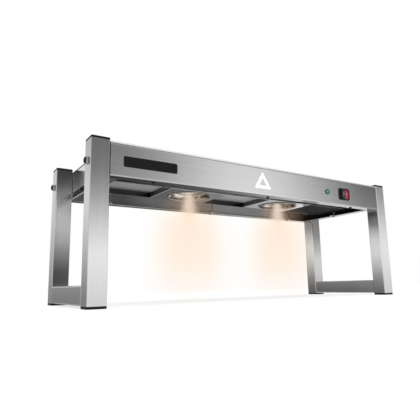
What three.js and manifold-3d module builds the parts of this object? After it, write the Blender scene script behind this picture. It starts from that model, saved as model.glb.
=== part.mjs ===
// Heat lamp warmer: a free-standing bridge that keeps plated food hot.
// Two square-tube side frames carry a shallow hood with two lamps facing down.
// Units are millimetres. +Z is up, +X is the long way, -Y is the front with the switch.
// The origin is on the resting surface, under the middle of the warmer.
import * as THREE from 'three';
import * as BufferGeometryUtils from 'three/addons/utils/BufferGeometryUtils.js';
import Module from 'manifold-3d';

// ---------- driving dimensions ----------
const WIDTH = 900;            // over the outer faces of the posts
const DEPTH = 300;            // over the front and rear faces of the posts
const HEIGHT = 325;           // resting surface to the top of the end caps
const TUBE = 38;              // square tube, outside
const TUBE_WALL = 1.5;
const TUBE_R = 3;             // outside corner radius of the tube
const FOOT_T = 4.5;           // thickness of a foot's sole
const CAP_T = 4.5;            // thickness of an end cap's crown
const GAP = 0.3;              // clearance between pieces that touch
const SHEET = 1.2;            // hood sheet thickness
const HOOD_Z0 = 249;          // underside of the hood's lips
const HOOD_Z1 = 320;          // top of the hood
const LIP = 23;               // width of the bottom lips
const HEM = 5;                // height of the top cover's turned-down edge
const TRAY_HALF = 61.2;       // half the width over the two rails
const LAMP_X = 150;           // lamp centres at +-LAMP_X
const LAMP_PLATE_Z = 262;     // underside of the lamp plates and rails
const BLANK_Z = 274;          // underside of the two blank panels
const PLATE_HALF = 79.8;      // half the length of a lamp plate
const RIM_R = 56;             // outer radius of a reflector's rim
const MOUTH_R = 50.4;         // clear radius of a reflector's mouth
const TUBE_LAMP_Z = 282;      // axis height of the tubular lamps
const BOLT_Z = 278;           // height of the frame bolts
const SWITCH = { x: 265, z: 280, w: 44, h: 34 };
const PILOT = { x: 197.5, z: 280.5 };
const GLAND = { x: 330, z: 285 };
const ROCKER_REST_DEG = 10;   // the rocker rests tipped to its "on" side

const POST_X = WIDTH / 2 - TUBE / 2;    // 431
const POST_Y = DEPTH / 2 - TUBE / 2;    // 131
const POST_Z0 = FOOT_T + GAP;
const POST_Z1 = HEIGHT - CAP_T - GAP;
const HOOD_X = WIDTH / 2 - TUBE - GAP;  // half the hood's length

// ---------- helpers ----------
const wasm = await Module();
wasm.setup();

function toSolid(geometry) {
  let g = geometry.clone();
  for (const name of Object.keys(g.attributes)) if (name !== 'position') g.deleteAttribute(name);
  g = BufferGeometryUtils.mergeVertices(g, 1e-4);
  return new wasm.Manifold(new wasm.Mesh({
    numProp: 3,
    vertProperties: new Float32Array(g.attributes.position.array),
    triVerts: new Uint32Array(g.index.array),
  }));
}

function toGeometry(solid) {
  const mesh = solid.getMesh();
  const positions = new Float32Array((mesh.vertProperties.length / mesh.numProp) * 3);
  for (let i = 0; i < positions.length / 3; i++) {
    for (let k = 0; k < 3; k++) positions[i * 3 + k] = mesh.vertProperties[i * mesh.numProp + k];
  }
  const g = new THREE.BufferGeometry();
  g.setAttribute('position', new THREE.BufferAttribute(positions, 3));
  g.setIndex(Array.from(mesh.triVerts));
  const flat = g.toNonIndexed();
  flat.computeVertexNormals();
  return flat;
}

// A block between two corners.
function block(x0, x1, y0, y1, z0, z1) {
  const g = new THREE.BoxGeometry(x1 - x0, y1 - y0, z1 - z0);
  g.translate((x0 + x1) / 2, (y0 + y1) / 2, (z0 + z1) / 2);
  return g;
}
const blockSolid = (...a) => toSolid(block(...a));

// A round bar along X, Y or Z between two positions.
function bar(axis, r, from, to, a, b, segments = 24) {
  const g = new THREE.CylinderGeometry(r, r, to - from, segments);
  if (axis === 'x') { g.rotateZ(-Math.PI / 2); g.translate((from + to) / 2, a, b); }
  if (axis === 'y') g.translate(a, (from + to) / 2, b);
  if (axis === 'z') { g.rotateX(Math.PI / 2); g.translate(a, b, (from + to) / 2); }
  return g;
}
const barSolid = (...a) => toSolid(bar(...a));

function roundedSquare(half, r, steps = 2) {
  const pts = [];
  const corners = [[half - r, half - r, 0], [-half + r, half - r, 90], [-half + r, -half + r, 180], [half - r, -half + r, 270]];
  for (const [cx, cy, a0] of corners) {
    for (let i = 0; i <= steps; i++) {
      const a = THREE.MathUtils.degToRad(a0 + (90 * i) / steps);
      pts.push(new THREE.Vector2(cx + r * Math.cos(a), cy + r * Math.sin(a)));
    }
  }
  return pts;
}

// A square prism with rounded corners along Z, optionally tapered towards one end.
function prism(half, r, z0, z1) {
  const g = new THREE.ExtrudeGeometry(new THREE.Shape(roundedSquare(half, r)), { depth: z1 - z0, bevelEnabled: false, steps: 1 });
  g.translate(0, 0, z0);
  return g;
}

// A profile in the YZ plane, extruded along X between x0 and x1.
function alongX(points, x0, x1) {
  const shape = new THREE.Shape(points.map(([y, z]) => new THREE.Vector2(y, z)));
  const g = new THREE.ExtrudeGeometry(shape, { depth: x1 - x0, bevelEnabled: false, steps: 1 });
  // shape x -> world y, shape y -> world z, depth -> world x
  g.applyMatrix4(new THREE.Matrix4().makeBasis(new THREE.Vector3(0, 1, 0), new THREE.Vector3(0, 0, 1), new THREE.Vector3(1, 0, 0)));
  g.translate(x0, 0, 0);
  return g;
}

// A turned body about its own +Z axis; profile points are [radius, height].
function turned(profile, segments = 32) {
  const pts = profile.map(([r, z]) => new THREE.Vector2(r, z));
  const g = new THREE.LatheGeometry(pts, segments);
  g.rotateX(Math.PI / 2);
  return g;
}

// A round tube of constant radius along a smooth path.
function run(points, r, steps, sides = 8) {
  const curve = new THREE.CatmullRomCurve3(points.map((p) => new THREE.Vector3(...p)), false, 'centripetal');
  const section = [];
  for (let i = 0; i < sides; i++) {
    const a = (2 * Math.PI * i) / sides;
    section.push(new THREE.Vector2(r * Math.cos(a), r * Math.sin(a)));
  }
  return new THREE.ExtrudeGeometry(new THREE.Shape(section), { steps, extrudePath: curve, bevelEnabled: false });
}

const paint = (color, roughness, metalness, extra = {}) => new THREE.MeshStandardMaterial({ color, roughness, metalness, ...extra });
const STEEL = () => paint(0xb9bbbe, 0.32, 1.0);
const BLACK_PLASTIC = () => paint(0x17181a, 0.55, 0.0);
const BLACK_STEEL = () => paint(0x1d1e20, 0.4, 0.6);

const warmer = new THREE.Group();
warmer.name = 'heat_lamp_warmer';

function add(name, geometry, material, parent = warmer) {
  const mesh = new THREE.Mesh(geometry, material);
  mesh.name = name;
  parent.add(mesh);
  return mesh;
}
const addSolid = (name, solid, material, parent) => add(name, toGeometry(solid), material, parent);

// ---------- side frames ----------
for (const [sideName, sx] of [['left', -1], ['right', 1]]) {
  for (const [endName, sy] of [['front', -1], ['rear', 1]]) {
    const cx = sx * POST_X;
    const cy = sy * POST_Y;

    // Post: square tube, drilled across at the height of the hood for the frame bolt.
    const tube = toSolid(prism(TUBE / 2, TUBE_R, POST_Z0, POST_Z1))
      .subtract(toSolid(prism(TUBE / 2 - TUBE_WALL, TUBE_R - TUBE_WALL + 0.2, POST_Z0 - 1, POST_Z1 + 1)))
      .translate([cx, cy, 0])
      .subtract(barSolid('x', 4.5, cx - TUBE / 2 - 1, cx + TUBE / 2 + 1, cy, BOLT_Z, 14));
    addSolid(`${sideName}_${endName}_post`, tube, STEEL());

    // End cap: a crown with eased edges, and a hollow plug that grips the tube's bore.
    const crown = toSolid(prism(TUBE / 2, TUBE_R, HEIGHT - CAP_T, HEIGHT - 1.2))
      .add(toSolid(prism(TUBE / 2 - 1.2, TUBE_R - 0.6, HEIGHT - 1.4, HEIGHT)));
    const plug = toSolid(prism(TUBE / 2 - TUBE_WALL - 0.4, 1.2, HEIGHT - CAP_T - 14, HEIGHT - CAP_T + 0.5))
      .subtract(toSolid(prism(TUBE / 2 - TUBE_WALL - 2.6, 1, HEIGHT - CAP_T - 15, HEIGHT - CAP_T - 0.6)));
    addSolid(`${sideName}_${endName}_end_cap`, crown.add(plug).translate([cx, cy, 0]), BLACK_PLASTIC());

    // Foot: a sole with an eased lower edge, and a hollow plug up into the tube.
    const sole = toSolid(prism(TUBE / 2, TUBE_R, 1.2, FOOT_T)).add(toSolid(prism(TUBE / 2 - 1.2, TUBE_R - 0.6, 0, 1.4)));
    const spigot = toSolid(prism(TUBE / 2 - TUBE_WALL - 0.4, 1.2, FOOT_T - 0.5, FOOT_T + 16))
      .subtract(toSolid(prism(TUBE / 2 - TUBE_WALL - 2.6, 1, FOOT_T + 0.6, FOOT_T + 17)));
    addSolid(`${sideName}_${endName}_foot`, sole.add(spigot).translate([cx, cy, 0]), BLACK_PLASTIC());

    // Frame bolt: domed head on a flange outside the post, shank through the post into the hood's end.
    const bolt = turned([
      [0, -54], [4, -54], [4, 0], [8, 0], [8, 1.4], [7, 1.6], [7, 4.4], [4.8, 6.7], [0, 7],
    ], 16);
    bolt.rotateY(Math.PI / 2); // head towards +X
    if (sx < 0) bolt.rotateZ(Math.PI);
    bolt.translate(sx * (WIDTH / 2 + GAP), cy, BOLT_Z);
    add(`${sideName}_${endName}_frame_bolt`, bolt, BLACK_STEEL());

    // Hexagon nut on the bolt, inside the hood's end panel.
    const nutShape = new THREE.Shape(Array.from({ length: 6 }, (_, i) => {
      const a = (Math.PI / 3) * i;
      return new THREE.Vector2(7.5 * Math.cos(a), 7.5 * Math.sin(a));
    }));
    nutShape.holes.push(new THREE.Path(Array.from({ length: 20 }, (_, i) => {
      const a = -(Math.PI / 10) * i;
      return new THREE.Vector2(4.35 * Math.cos(a), 4.35 * Math.sin(a));
    })));
    const nut = new THREE.ExtrudeGeometry(nutShape, { depth: 6.5, bevelEnabled: false });
    nut.rotateY(Math.PI / 2);
    const nutX = HOOD_X - SHEET - GAP - 6.5;
    nut.translate(sx > 0 ? nutX : -nutX - 6.5, cy, BOLT_Z);
    add(`${sideName}_${endName}_nut`, nut, STEEL());
  }

  // Bottom stretcher between the two posts, level with the posts' lower ends.
  const half = POST_Y - TUBE / 2 - GAP;
  const stretcher = toSolid(prism(TUBE / 2, TUBE_R, -half, half))
    .subtract(toSolid(prism(TUBE / 2 - TUBE_WALL, TUBE_R - TUBE_WALL + 0.2, -half - 1, half + 1)))
    .rotate([90, 0, 0])
    .translate([sx * POST_X, 0, POST_Z0 + TUBE / 2]);
  addSolid(`${sideName}_stretcher`, stretcher, STEEL());
}

// ---------- hood shell ----------
const PANEL_TOP = HOOD_Z1 - HEM - 0.4;  // top of the front, rear and end panels
const FLANGE = 20;                      // width of the panels' top flanges
const SCREW_X = [-312, 0, 312];         // lip screws along the front and the rear
const SCREW_Y = DEPTH / 2 - LIP + 4;    // set 4 mm in from the lip's inner edge
const END_SCREW_X = HOOD_X - LIP + 4;

// Front and rear panels: a channel with a wide bottom lip and a top flange.
function channelPanel(sy) {
  const y0 = DEPTH / 2;
  const profile = [
    [y0, HOOD_Z0 + 1], [y0 - 1, HOOD_Z0], [y0 - LIP, HOOD_Z0], [y0 - LIP, HOOD_Z0 + SHEET], [y0 - SHEET, HOOD_Z0 + SHEET],
    [y0 - SHEET, PANEL_TOP - SHEET], [y0 - FLANGE, PANEL_TOP - SHEET], [y0 - FLANGE, PANEL_TOP], [y0, PANEL_TOP],
  ].map(([y, z]) => [sy * y, z]);
  if (sy < 0) profile.reverse();
  let panel = toSolid(alongX(profile, -HOOD_X, HOOD_X));
  for (const x of SCREW_X) panel = panel.subtract(barSolid('z', 2.3, HOOD_Z0 - 1, HOOD_Z0 + 3, x, sy * SCREW_Y, 10));
  return panel;
}

const frontPanel = channelPanel(-1)
  .subtract(blockSolid(SWITCH.x - 20, SWITCH.x + 20, -DEPTH / 2 - 1, -DEPTH / 2 + 3, SWITCH.z - 15, SWITCH.z + 15))
  .subtract(barSolid('y', 6, -DEPTH / 2 - 1, -DEPTH / 2 + 3, PILOT.x, PILOT.z, 24));
addSolid('hood_front_panel', frontPanel, STEEL());

const rearPanel = channelPanel(1)
  .subtract(barSolid('y', 8.4, DEPTH / 2 - 3, DEPTH / 2 + 1, GLAND.x, GLAND.z, 24));
addSolid('hood_rear_panel', rearPanel, STEEL());

// End panels: a flat sheet with a bottom lip and a top flange. The left one has a low slot that lets air in;
// the right one, beside the covered bay, is closed.
const END_Y = DEPTH / 2 - SHEET - GAP;
const LIP_Y = DEPTH / 2 - LIP - 0.4;
for (const [sideName, sx] of [['left', -1], ['right', 1]]) {
  const pick = (a, b) => (sx > 0 ? [a, b] : [-b, -a]);
  const [w0, w1] = pick(HOOD_X - SHEET, HOOD_X);
  const [l0, l1] = pick(HOOD_X - LIP, HOOD_X);
  const [f0, f1] = pick(HOOD_X - FLANGE, HOOD_X);
  const flangeY = DEPTH / 2 - FLANGE - 0.4;
  let end = blockSolid(w0, w1, -END_Y, END_Y, HOOD_Z0 + SHEET + GAP, PANEL_TOP - SHEET - GAP)
    .add(blockSolid(w0, w1, -flangeY, flangeY, PANEL_TOP - SHEET - GAP - 1, PANEL_TOP))
    .add(blockSolid(f0, f1, -flangeY, flangeY, PANEL_TOP - SHEET, PANEL_TOP))
    .add(blockSolid(l0, l1, -LIP_Y, LIP_Y, HOOD_Z0, HOOD_Z0 + SHEET))
    .add(blockSolid(w0, w1, -LIP_Y, LIP_Y, HOOD_Z0, HOOD_Z0 + 3))
    .subtract(barSolid('z', 2.3, HOOD_Z0 - 1, HOOD_Z0 + 3, sx * END_SCREW_X, 0, 12));
  if (sx < 0) end = end.subtract(blockSolid(w0 - 2, w1 + 2, -105, 105, HOOD_Z0 + SHEET + 1, HOOD_Z0 + 16));
  for (const sy of [-1, 1]) end = end.subtract(barSolid('x', 4.5, w0 - 2, w1 + 2, sy * POST_Y, BOLT_Z, 14));
  addSolid(`hood_${sideName}_end_panel`, end, STEEL());
}

// Top cover: a shallow lid with a turned-down edge all round.
const cover = blockSolid(-HOOD_X, HOOD_X, -DEPTH / 2, DEPTH / 2, HOOD_Z1 - HEM, HOOD_Z1)
  .subtract(blockSolid(-HOOD_X + SHEET, HOOD_X - SHEET, -DEPTH / 2 + SHEET, DEPTH / 2 - SHEET, HOOD_Z1 - HEM - 1, HOOD_Z1 - SHEET));
addSolid('hood_top_cover', cover, STEEL());

// ---------- lamp tray ----------
const RAIL_X = HOOD_X - SHEET - 0.4;
const RAIL_TOP = 300;
const ARM_LEG = 5;            // width of the legs that stand on the lips

// Rails: an angle along the hood, with three arms that reach out over the lips and step down onto them.
for (const [endName, sy] of [['front', -1], ['rear', 1]]) {
  const span = (a, b) => (sy > 0 ? [a, b] : [-b, -a]);
  const [y0, y1] = span(TRAY_HALF - SHEET, TRAY_HALF);
  const [t0, t1] = span(TRAY_HALF - SHEET, TRAY_HALF + 10);
  const [a0, a1] = span(TRAY_HALF - 0.4, 121.2);
  const [b0, b1] = span(120, 121.2);
  const [c0, c1] = span(120, 137);
  let rail = blockSolid(-RAIL_X, RAIL_X, y0, y1, LAMP_PLATE_Z, RAIL_TOP)
    .add(blockSolid(-RAIL_X, RAIL_X, t0, t1, RAIL_TOP - SHEET, RAIL_TOP));
  for (const x of SCREW_X) {
    rail = rail
      .add(blockSolid(x - 6, x + 6, a0, a1, RAIL_TOP - SHEET, RAIL_TOP))
      .add(blockSolid(x - ARM_LEG / 2, x + ARM_LEG / 2, b0, b1, HOOD_Z0 + SHEET + GAP, RAIL_TOP))
      .add(blockSolid(x - 6, x + 6, c0, c1, HOOD_Z0 + SHEET + GAP, HOOD_Z0 + 2 * SHEET + GAP))
      .subtract(barSolid('z', 2.3, HOOD_Z0, HOOD_Z0 + 5, x, sy * SCREW_Y, 12));
  }
  addSolid(`tray_${endName}_rail`, rail, STEEL());
}

// A pan open at the top, standing between the rails.
const PAN_Y = TRAY_HALF - SHEET - 0.4;
function pan(x0, x1, z0, z1, z1Ends = z1) {
  const outer = blockSolid(x0, x1, -PAN_Y, PAN_Y, z0, Math.max(z1, z1Ends));
  const inner = blockSolid(x0 + SHEET, x1 - SHEET, -PAN_Y + SHEET, PAN_Y - SHEET, z0 + SHEET, 400);
  return outer.subtract(inner);
}
// A stepped tab from the end of a panel down to the end lip.
function endTab(sx, fromZ) {
  const span = (a, b) => (sx > 0 ? [a, b] : [-b, -a]);
  const [a0, a1] = span(396, 397.2);
  const [b0, b1] = span(382, 397.2);
  return blockSolid(a0, a1, -ARM_LEG / 2, ARM_LEG / 2, HOOD_Z0 + SHEET + GAP, fromZ + 0.5)
    .add(blockSolid(b0, b1, -6, 6, HOOD_Z0 + SHEET + GAP, HOOD_Z0 + 2 * SHEET + GAP))
    .subtract(barSolid('z', 2.3, HOOD_Z0, HOOD_Z0 + 5, sx * END_SCREW_X, 0, 12));
}

addSolid('left_blank_panel', pan(-RAIL_X, -LAMP_X - PLATE_HALF - 0.5, BLANK_Z, BLANK_Z + 12).add(endTab(-1, BLANK_Z)), STEEL());
addSolid('centre_blank_panel', pan(-LAMP_X + PLATE_HALF + 0.5, LAMP_X - PLATE_HALF - 0.5, BLANK_Z, BLANK_Z + 12), STEEL());
const bay = pan(LAMP_X + PLATE_HALF + 0.5, RAIL_X, LAMP_PLATE_Z, LAMP_PLATE_Z + 24).add(endTab(1, LAMP_PLATE_Z));
addSolid('control_bay_cover', bay, BLACK_STEEL());

// ---------- lamps ----------
for (const [sideName, sx] of [['left', -1], ['right', 1]]) {
  const cx = sx * LAMP_X;

  // Lamp plate: a shallow pan with a round opening.
  const plate = pan(cx - PLATE_HALF, cx + PLATE_HALF, LAMP_PLATE_Z, LAMP_PLATE_Z + 23)
    .subtract(barSolid('z', 52, LAMP_PLATE_Z - 5, LAMP_PLATE_Z + 5, cx, 0, 40));
  addSolid(`${sideName}_lamp_plate`, plate, STEEL());

  // Reflector: a spun cup with a rolled rim under the plate; the lamp passes through its two side holes.
  const inside = [[MOUTH_R, 261], [49.6, 268], [46.4, 281], [38.5, 294], [26.5, 302], [0, 305]];
  const outside = [[0, 306.2], [27, 303.2], [39.3, 294.9], [47.4, 281.4], [50.8, 268.2],
    [51.3, 261.7], [RIM_R - 0.4, 261.7], [RIM_R, 260.6], [RIM_R - 1, 259.4], [52.4, 260.3]];
  const cup = toSolid(turned([...inside.slice().reverse(), ...outside.slice().reverse()], 32))
    .translate([cx, 0, 0])
    .subtract(barSolid('x', 7.6, cx - 60, cx + 60, 0, TUBE_LAMP_Z, 16));
  addSolid(`${sideName}_reflector`, cup, paint(0xd8d2c4, 0.18, 1.0));

  // Tubular halogen heat lamp with a ceramic end and a contact nib at each end.
  const lamp = turned([
    [0, -58.6], [2.4, -58.6], [2.6, -55.4], [5.8, -55.4], [5.8, -43], [5.0, -41.5],
    [5.0, 41.5], [5.8, 43], [5.8, 55.4], [2.6, 55.4], [2.4, 58.6], [0, 58.6],
  ], 14);
  lamp.rotateY(Math.PI / 2);
  lamp.translate(cx, 0, TUBE_LAMP_Z);
  add(`${sideName}_lamp_tube`, lamp, paint(0xffe2b0, 0.08, 0.0, { emissive: 0xffb060, emissiveIntensity: 1 }));

  // Lampholders: ceramic blocks on the lamp plate, each with a blind socket facing the reflector.
  for (const [endName, ex] of [['inner', -sx], ['outer', sx]]) {
    const span = (a, b) => (ex > 0 ? [cx + a, cx + b] : [cx - b, cx - a]);
    const [h0, h1] = span(53, 68);
    const [s0, s1] = span(51, 61);
    const holder = blockSolid(h0, h1, -9, 9, LAMP_PLATE_Z + SHEET + GAP, 291)
      .subtract(barSolid('x', 6.6, s0, s1, 0, TUBE_LAMP_Z, 20));
    addSolid(`${sideName}_lampholder_${endName}`, holder, paint(0xece7dc, 0.5, 0.0));
  }
}

// ---------- controls ----------
// Power switch: bezel and body in one moulding, with a well for the rocker and two blind pivot sockets.
const PIVOT_Y = -146;
const WELL = { hw: 18.0, hh: 13.3 };
let switchBody = blockSolid(SWITCH.x - SWITCH.w / 2, SWITCH.x + SWITCH.w / 2, -152.4, -150.3, SWITCH.z - SWITCH.h / 2, SWITCH.z + SWITCH.h / 2)
  .add(blockSolid(SWITCH.x - 19.6, SWITCH.x + 19.6, -150.8, -126, SWITCH.z - 14.6, SWITCH.z + 14.6))
  .subtract(blockSolid(SWITCH.x - WELL.hw, SWITCH.x + WELL.hw, -155, -137, SWITCH.z - WELL.hh, SWITCH.z + WELL.hh))
  .subtract(barSolid('z', 1.8, SWITCH.z - 14.1, SWITCH.z + 14.1, SWITCH.x, PIVOT_Y, 16));
for (const dx of [-9, 9]) {
  for (const dz of [-6, 6]) {
    switchBody = switchBody.add(blockSolid(SWITCH.x + dx - 0.5, SWITCH.x + dx + 0.5, -126.5, -117, SWITCH.z + dz - 3, SWITCH.z + dz + 3));
  }
}
addSolid('power_switch_body', switchBody, BLACK_PLASTIC());

// Rocker: a barrel-sided key with a shallow V face and two pivot stubs; its flanks are arcs about the pivot.
const ROCKER_R = 17.5;
const keyPts = [];
for (let i = 0; i <= 6; i++) {
  const a = THREE.MathUtils.degToRad(-17 + (45 * i) / 6);
  keyPts.push([ROCKER_R * Math.cos(a), ROCKER_R * Math.sin(a)]);
}
keyPts.push([8, 6.9], [0, 6.2], [-8, 6.9]);
for (let i = 6; i >= 0; i--) {
  const a = THREE.MathUtils.degToRad(-17 + (45 * i) / 6);
  keyPts.push([-ROCKER_R * Math.cos(a), ROCKER_R * Math.sin(a)]);
}
const keyShape = new THREE.Shape(keyPts.map(([u, v]) => new THREE.Vector2(u, v)));
const key = new THREE.ExtrudeGeometry(keyShape, { depth: 25.8, bevelEnabled: false });
key.translate(0, 0, -12.9);
let rocker = toSolid(key)                       // u along +X, v towards +Y
  .add(barSolid('z', 1.4, -13.8, 13.8, 0, 0, 12))
  .rotate([180, 0, 0])                          // v now faces the front, -Y
  .rotate([0, 0, ROCKER_REST_DEG])
  .translate([SWITCH.x, PIVOT_Y, SWITCH.z]);
addSolid('power_switch_rocker', rocker, paint(0xb3202c, 0.3, 0.0));

// Pilot light: a flanged bezel tube with a domed green lens in it.
const bezel = turned([
  [4.7, 0], [5.6, 0], [5.6, 18.7], [7.5, 18.7], [7.5, 20.0], [6.8, 20.7], [4.7, 20.7], [4.7, 0],
], 20);
bezel.rotateX(Math.PI / 2); // +Z of the turned body towards -Y
bezel.translate(PILOT.x, -131.6, PILOT.z);
add('pilot_light_bezel', bezel, paint(0x3c5c50, 0.3, 0.0));
const lens = turned([[0, 0], [4.3, 0], [4.3, 16.6], [3.9, 17.9], [2.4, 19.2], [0, 19.7]], 16);
lens.rotateX(Math.PI / 2);
lens.translate(PILOT.x, -133, PILOT.z);
add('pilot_light_lens', lens, paint(0x35c08c, 0.15, 0.0));

// Cable inlet bush in the rear panel, with a clear bore for the supply cord.
const bush = turned([
  [4.2, 0], [8, 0], [8, 14.5], [11, 14.5], [11, 17], [8.6, 19.5], [6.6, 22.0], [4.2, 22.0], [4.2, 0],
], 20);
bush.rotateX(-Math.PI / 2); // +Z of the turned body towards +Y
bush.translate(GLAND.x, DEPTH / 2 + GAP - 14.5, GLAND.z);
add('cable_inlet_bush', bush, BLACK_PLASTIC());

// Terminal block standing on the bay cover, with its row of screw wells.
let terminal = blockSolid(280, 330, 14, 34, LAMP_PLATE_Z + SHEET + GAP, 280);
for (let i = 0; i < 4; i++) terminal = terminal.subtract(barSolid('z', 2.6, 272, 281, 287 + i * 12, 24, 10));
addSolid('terminal_block', terminal, paint(0xd9d4c6, 0.5, 0.0));

// Lamp wiring: one sleeved run above the tray, with a drop to each lampholder.
const LOOM_Y = 48;
const LOOM_Z = 296;
let loom = toSolid(run([[279.2, 24, 272], [273, 24, 272], [264, 27, 275], [256, 38, 288], [243, LOOM_Y, LOOM_Z], [200, LOOM_Y, LOOM_Z], [100, LOOM_Y, LOOM_Z],
  [0, LOOM_Y, LOOM_Z], [-100, LOOM_Y, LOOM_Z], [-211, LOOM_Y, LOOM_Z]], 2.5, 26));
for (const x of [-210.5, -89.5, 89.5, 210.5]) {
  loom = loom.add(toSolid(run([[x, LOOM_Y, LOOM_Z], [x, 38, 295], [x, 25, 289], [x, 17, 283.3], [x, 13, 283], [x, 9.6, 283]], 1.9, 7, 6)));
}
addSolid('lamp_wiring', loom, paint(0xe9e4d6, 0.6, 0.0));

// Supply wiring from the inlet bush over the rear rail to the terminal block.
const supply = run([[330, 135.0, 285], [330, 128, 285], [329, 108, 294], [327, 86, 305], [322, 66, 307.6], [316, 54, 303], [312, 49, 288], [311, 44, 274.5], [311, 40, 272], [311, 34.9, 272]], 3.2, 20);
add('supply_wiring', supply, paint(0x202124, 0.6, 0.0));

// Control wiring from the terminal block over the front rail to the switch, with a branch to the pilot light.
let control = toSolid(run([[300, 13.2, 272], [300, 6, 272.4], [298.5, -14, 287], [293, -38, 302], [285, -62, 305.6], [276, -84, 303], [268, -99, 292], [265.4, -107, 282], [265, -112, 280.2], [265, -116.4, 280]], 2.8, 20));
control = control.add(toSolid(run([[274, -88, 301.5], [262, -94, 300], [240, -106, 294], [214, -118, 285], [201, -126, 281], [197.5, -131, 280.5]], 1.6, 10, 6)));
addSolid('control_wiring', control, paint(0x7a2f22, 0.6, 0.0));

// ---------- lip screws ----------
function lipScrew() {
  return turned([[0, 0], [3.2, 0.5], [4.0, 2.2], [2.0, 2.2], [2.0, 9.2], [0, 9.2]], 12);
}
const screwZ = HOOD_Z0 - GAP - 2.2;
for (const [endName, sy] of [['front', -1], ['rear', 1]]) {
  SCREW_X.forEach((x, i) => {
    const screw = lipScrew();
    screw.translate(x, sy * SCREW_Y, screwZ);
    add(`${endName}_lip_screw_${i + 1}`, screw, BLACK_STEEL());
  });
}
for (const [sideName, sx] of [['left', -1], ['right', 1]]) {
  const screw = lipScrew();
  screw.translate(sx * END_SCREW_X, 0, screwZ);
  add(`${sideName}_lip_screw`, screw, BLACK_STEEL());
}

export default warmer;
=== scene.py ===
import bpy
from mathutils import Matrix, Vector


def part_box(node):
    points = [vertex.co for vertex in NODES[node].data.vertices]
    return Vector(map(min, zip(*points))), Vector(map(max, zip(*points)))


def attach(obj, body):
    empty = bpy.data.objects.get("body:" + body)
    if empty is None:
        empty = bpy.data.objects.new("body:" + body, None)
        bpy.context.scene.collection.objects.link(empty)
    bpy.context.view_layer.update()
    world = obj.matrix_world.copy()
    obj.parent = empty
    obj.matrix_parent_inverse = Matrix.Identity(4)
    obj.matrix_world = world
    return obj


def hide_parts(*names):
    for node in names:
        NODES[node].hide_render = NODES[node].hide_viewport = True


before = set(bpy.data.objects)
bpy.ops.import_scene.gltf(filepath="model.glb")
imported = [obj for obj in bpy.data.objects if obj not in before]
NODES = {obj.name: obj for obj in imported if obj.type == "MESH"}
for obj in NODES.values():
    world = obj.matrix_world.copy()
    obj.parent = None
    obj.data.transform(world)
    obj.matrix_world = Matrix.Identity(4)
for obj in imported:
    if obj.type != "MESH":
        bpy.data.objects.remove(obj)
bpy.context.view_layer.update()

import bpy, bmesh, math
from math import sin, cos, pi, radians
from mathutils import Vector, Matrix

scene = bpy.context.scene
ROOT, ROCKER = "warmer", "rocker"
MM = 0.001


def mmbox(node):
    """A CAD node's corners in millimetres."""
    lo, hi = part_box(node)
    return [v / MM for v in lo], [v / MM for v in hi]


# ------------------------------------------------------------------ camera
def make_camera():
    f = 419.981
    yaw, pitch, roll = -0.583311, 0.176661, 0.021793
    fw = Vector((-sin(yaw) * cos(pitch), cos(yaw) * cos(pitch), sin(pitch)))
    right = Vector((cos(yaw), sin(yaw), 0))
    down = fw.cross(right)
    r2 = cos(roll) * right + sin(roll) * down
    d2 = -sin(roll) * right + cos(roll) * down
    data = bpy.data.cameras.new("camera")
    data.sensor_width = 36.0
    data.lens = f / 420 * 36.0
    data.clip_start, data.clip_end = 0.01, 60.0
    cam = bpy.data.objects.new("camera", data)
    m = Matrix.Identity(4)
    for col, v in enumerate((r2, -d2, -fw, Vector((-0.68208, -0.903345, 0.038553)))):
        for row in range(3):
            m[row][col] = v[row]
    cam.matrix_world = m
    scene.collection.objects.link(cam)
    scene.camera = cam


make_camera()


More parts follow.
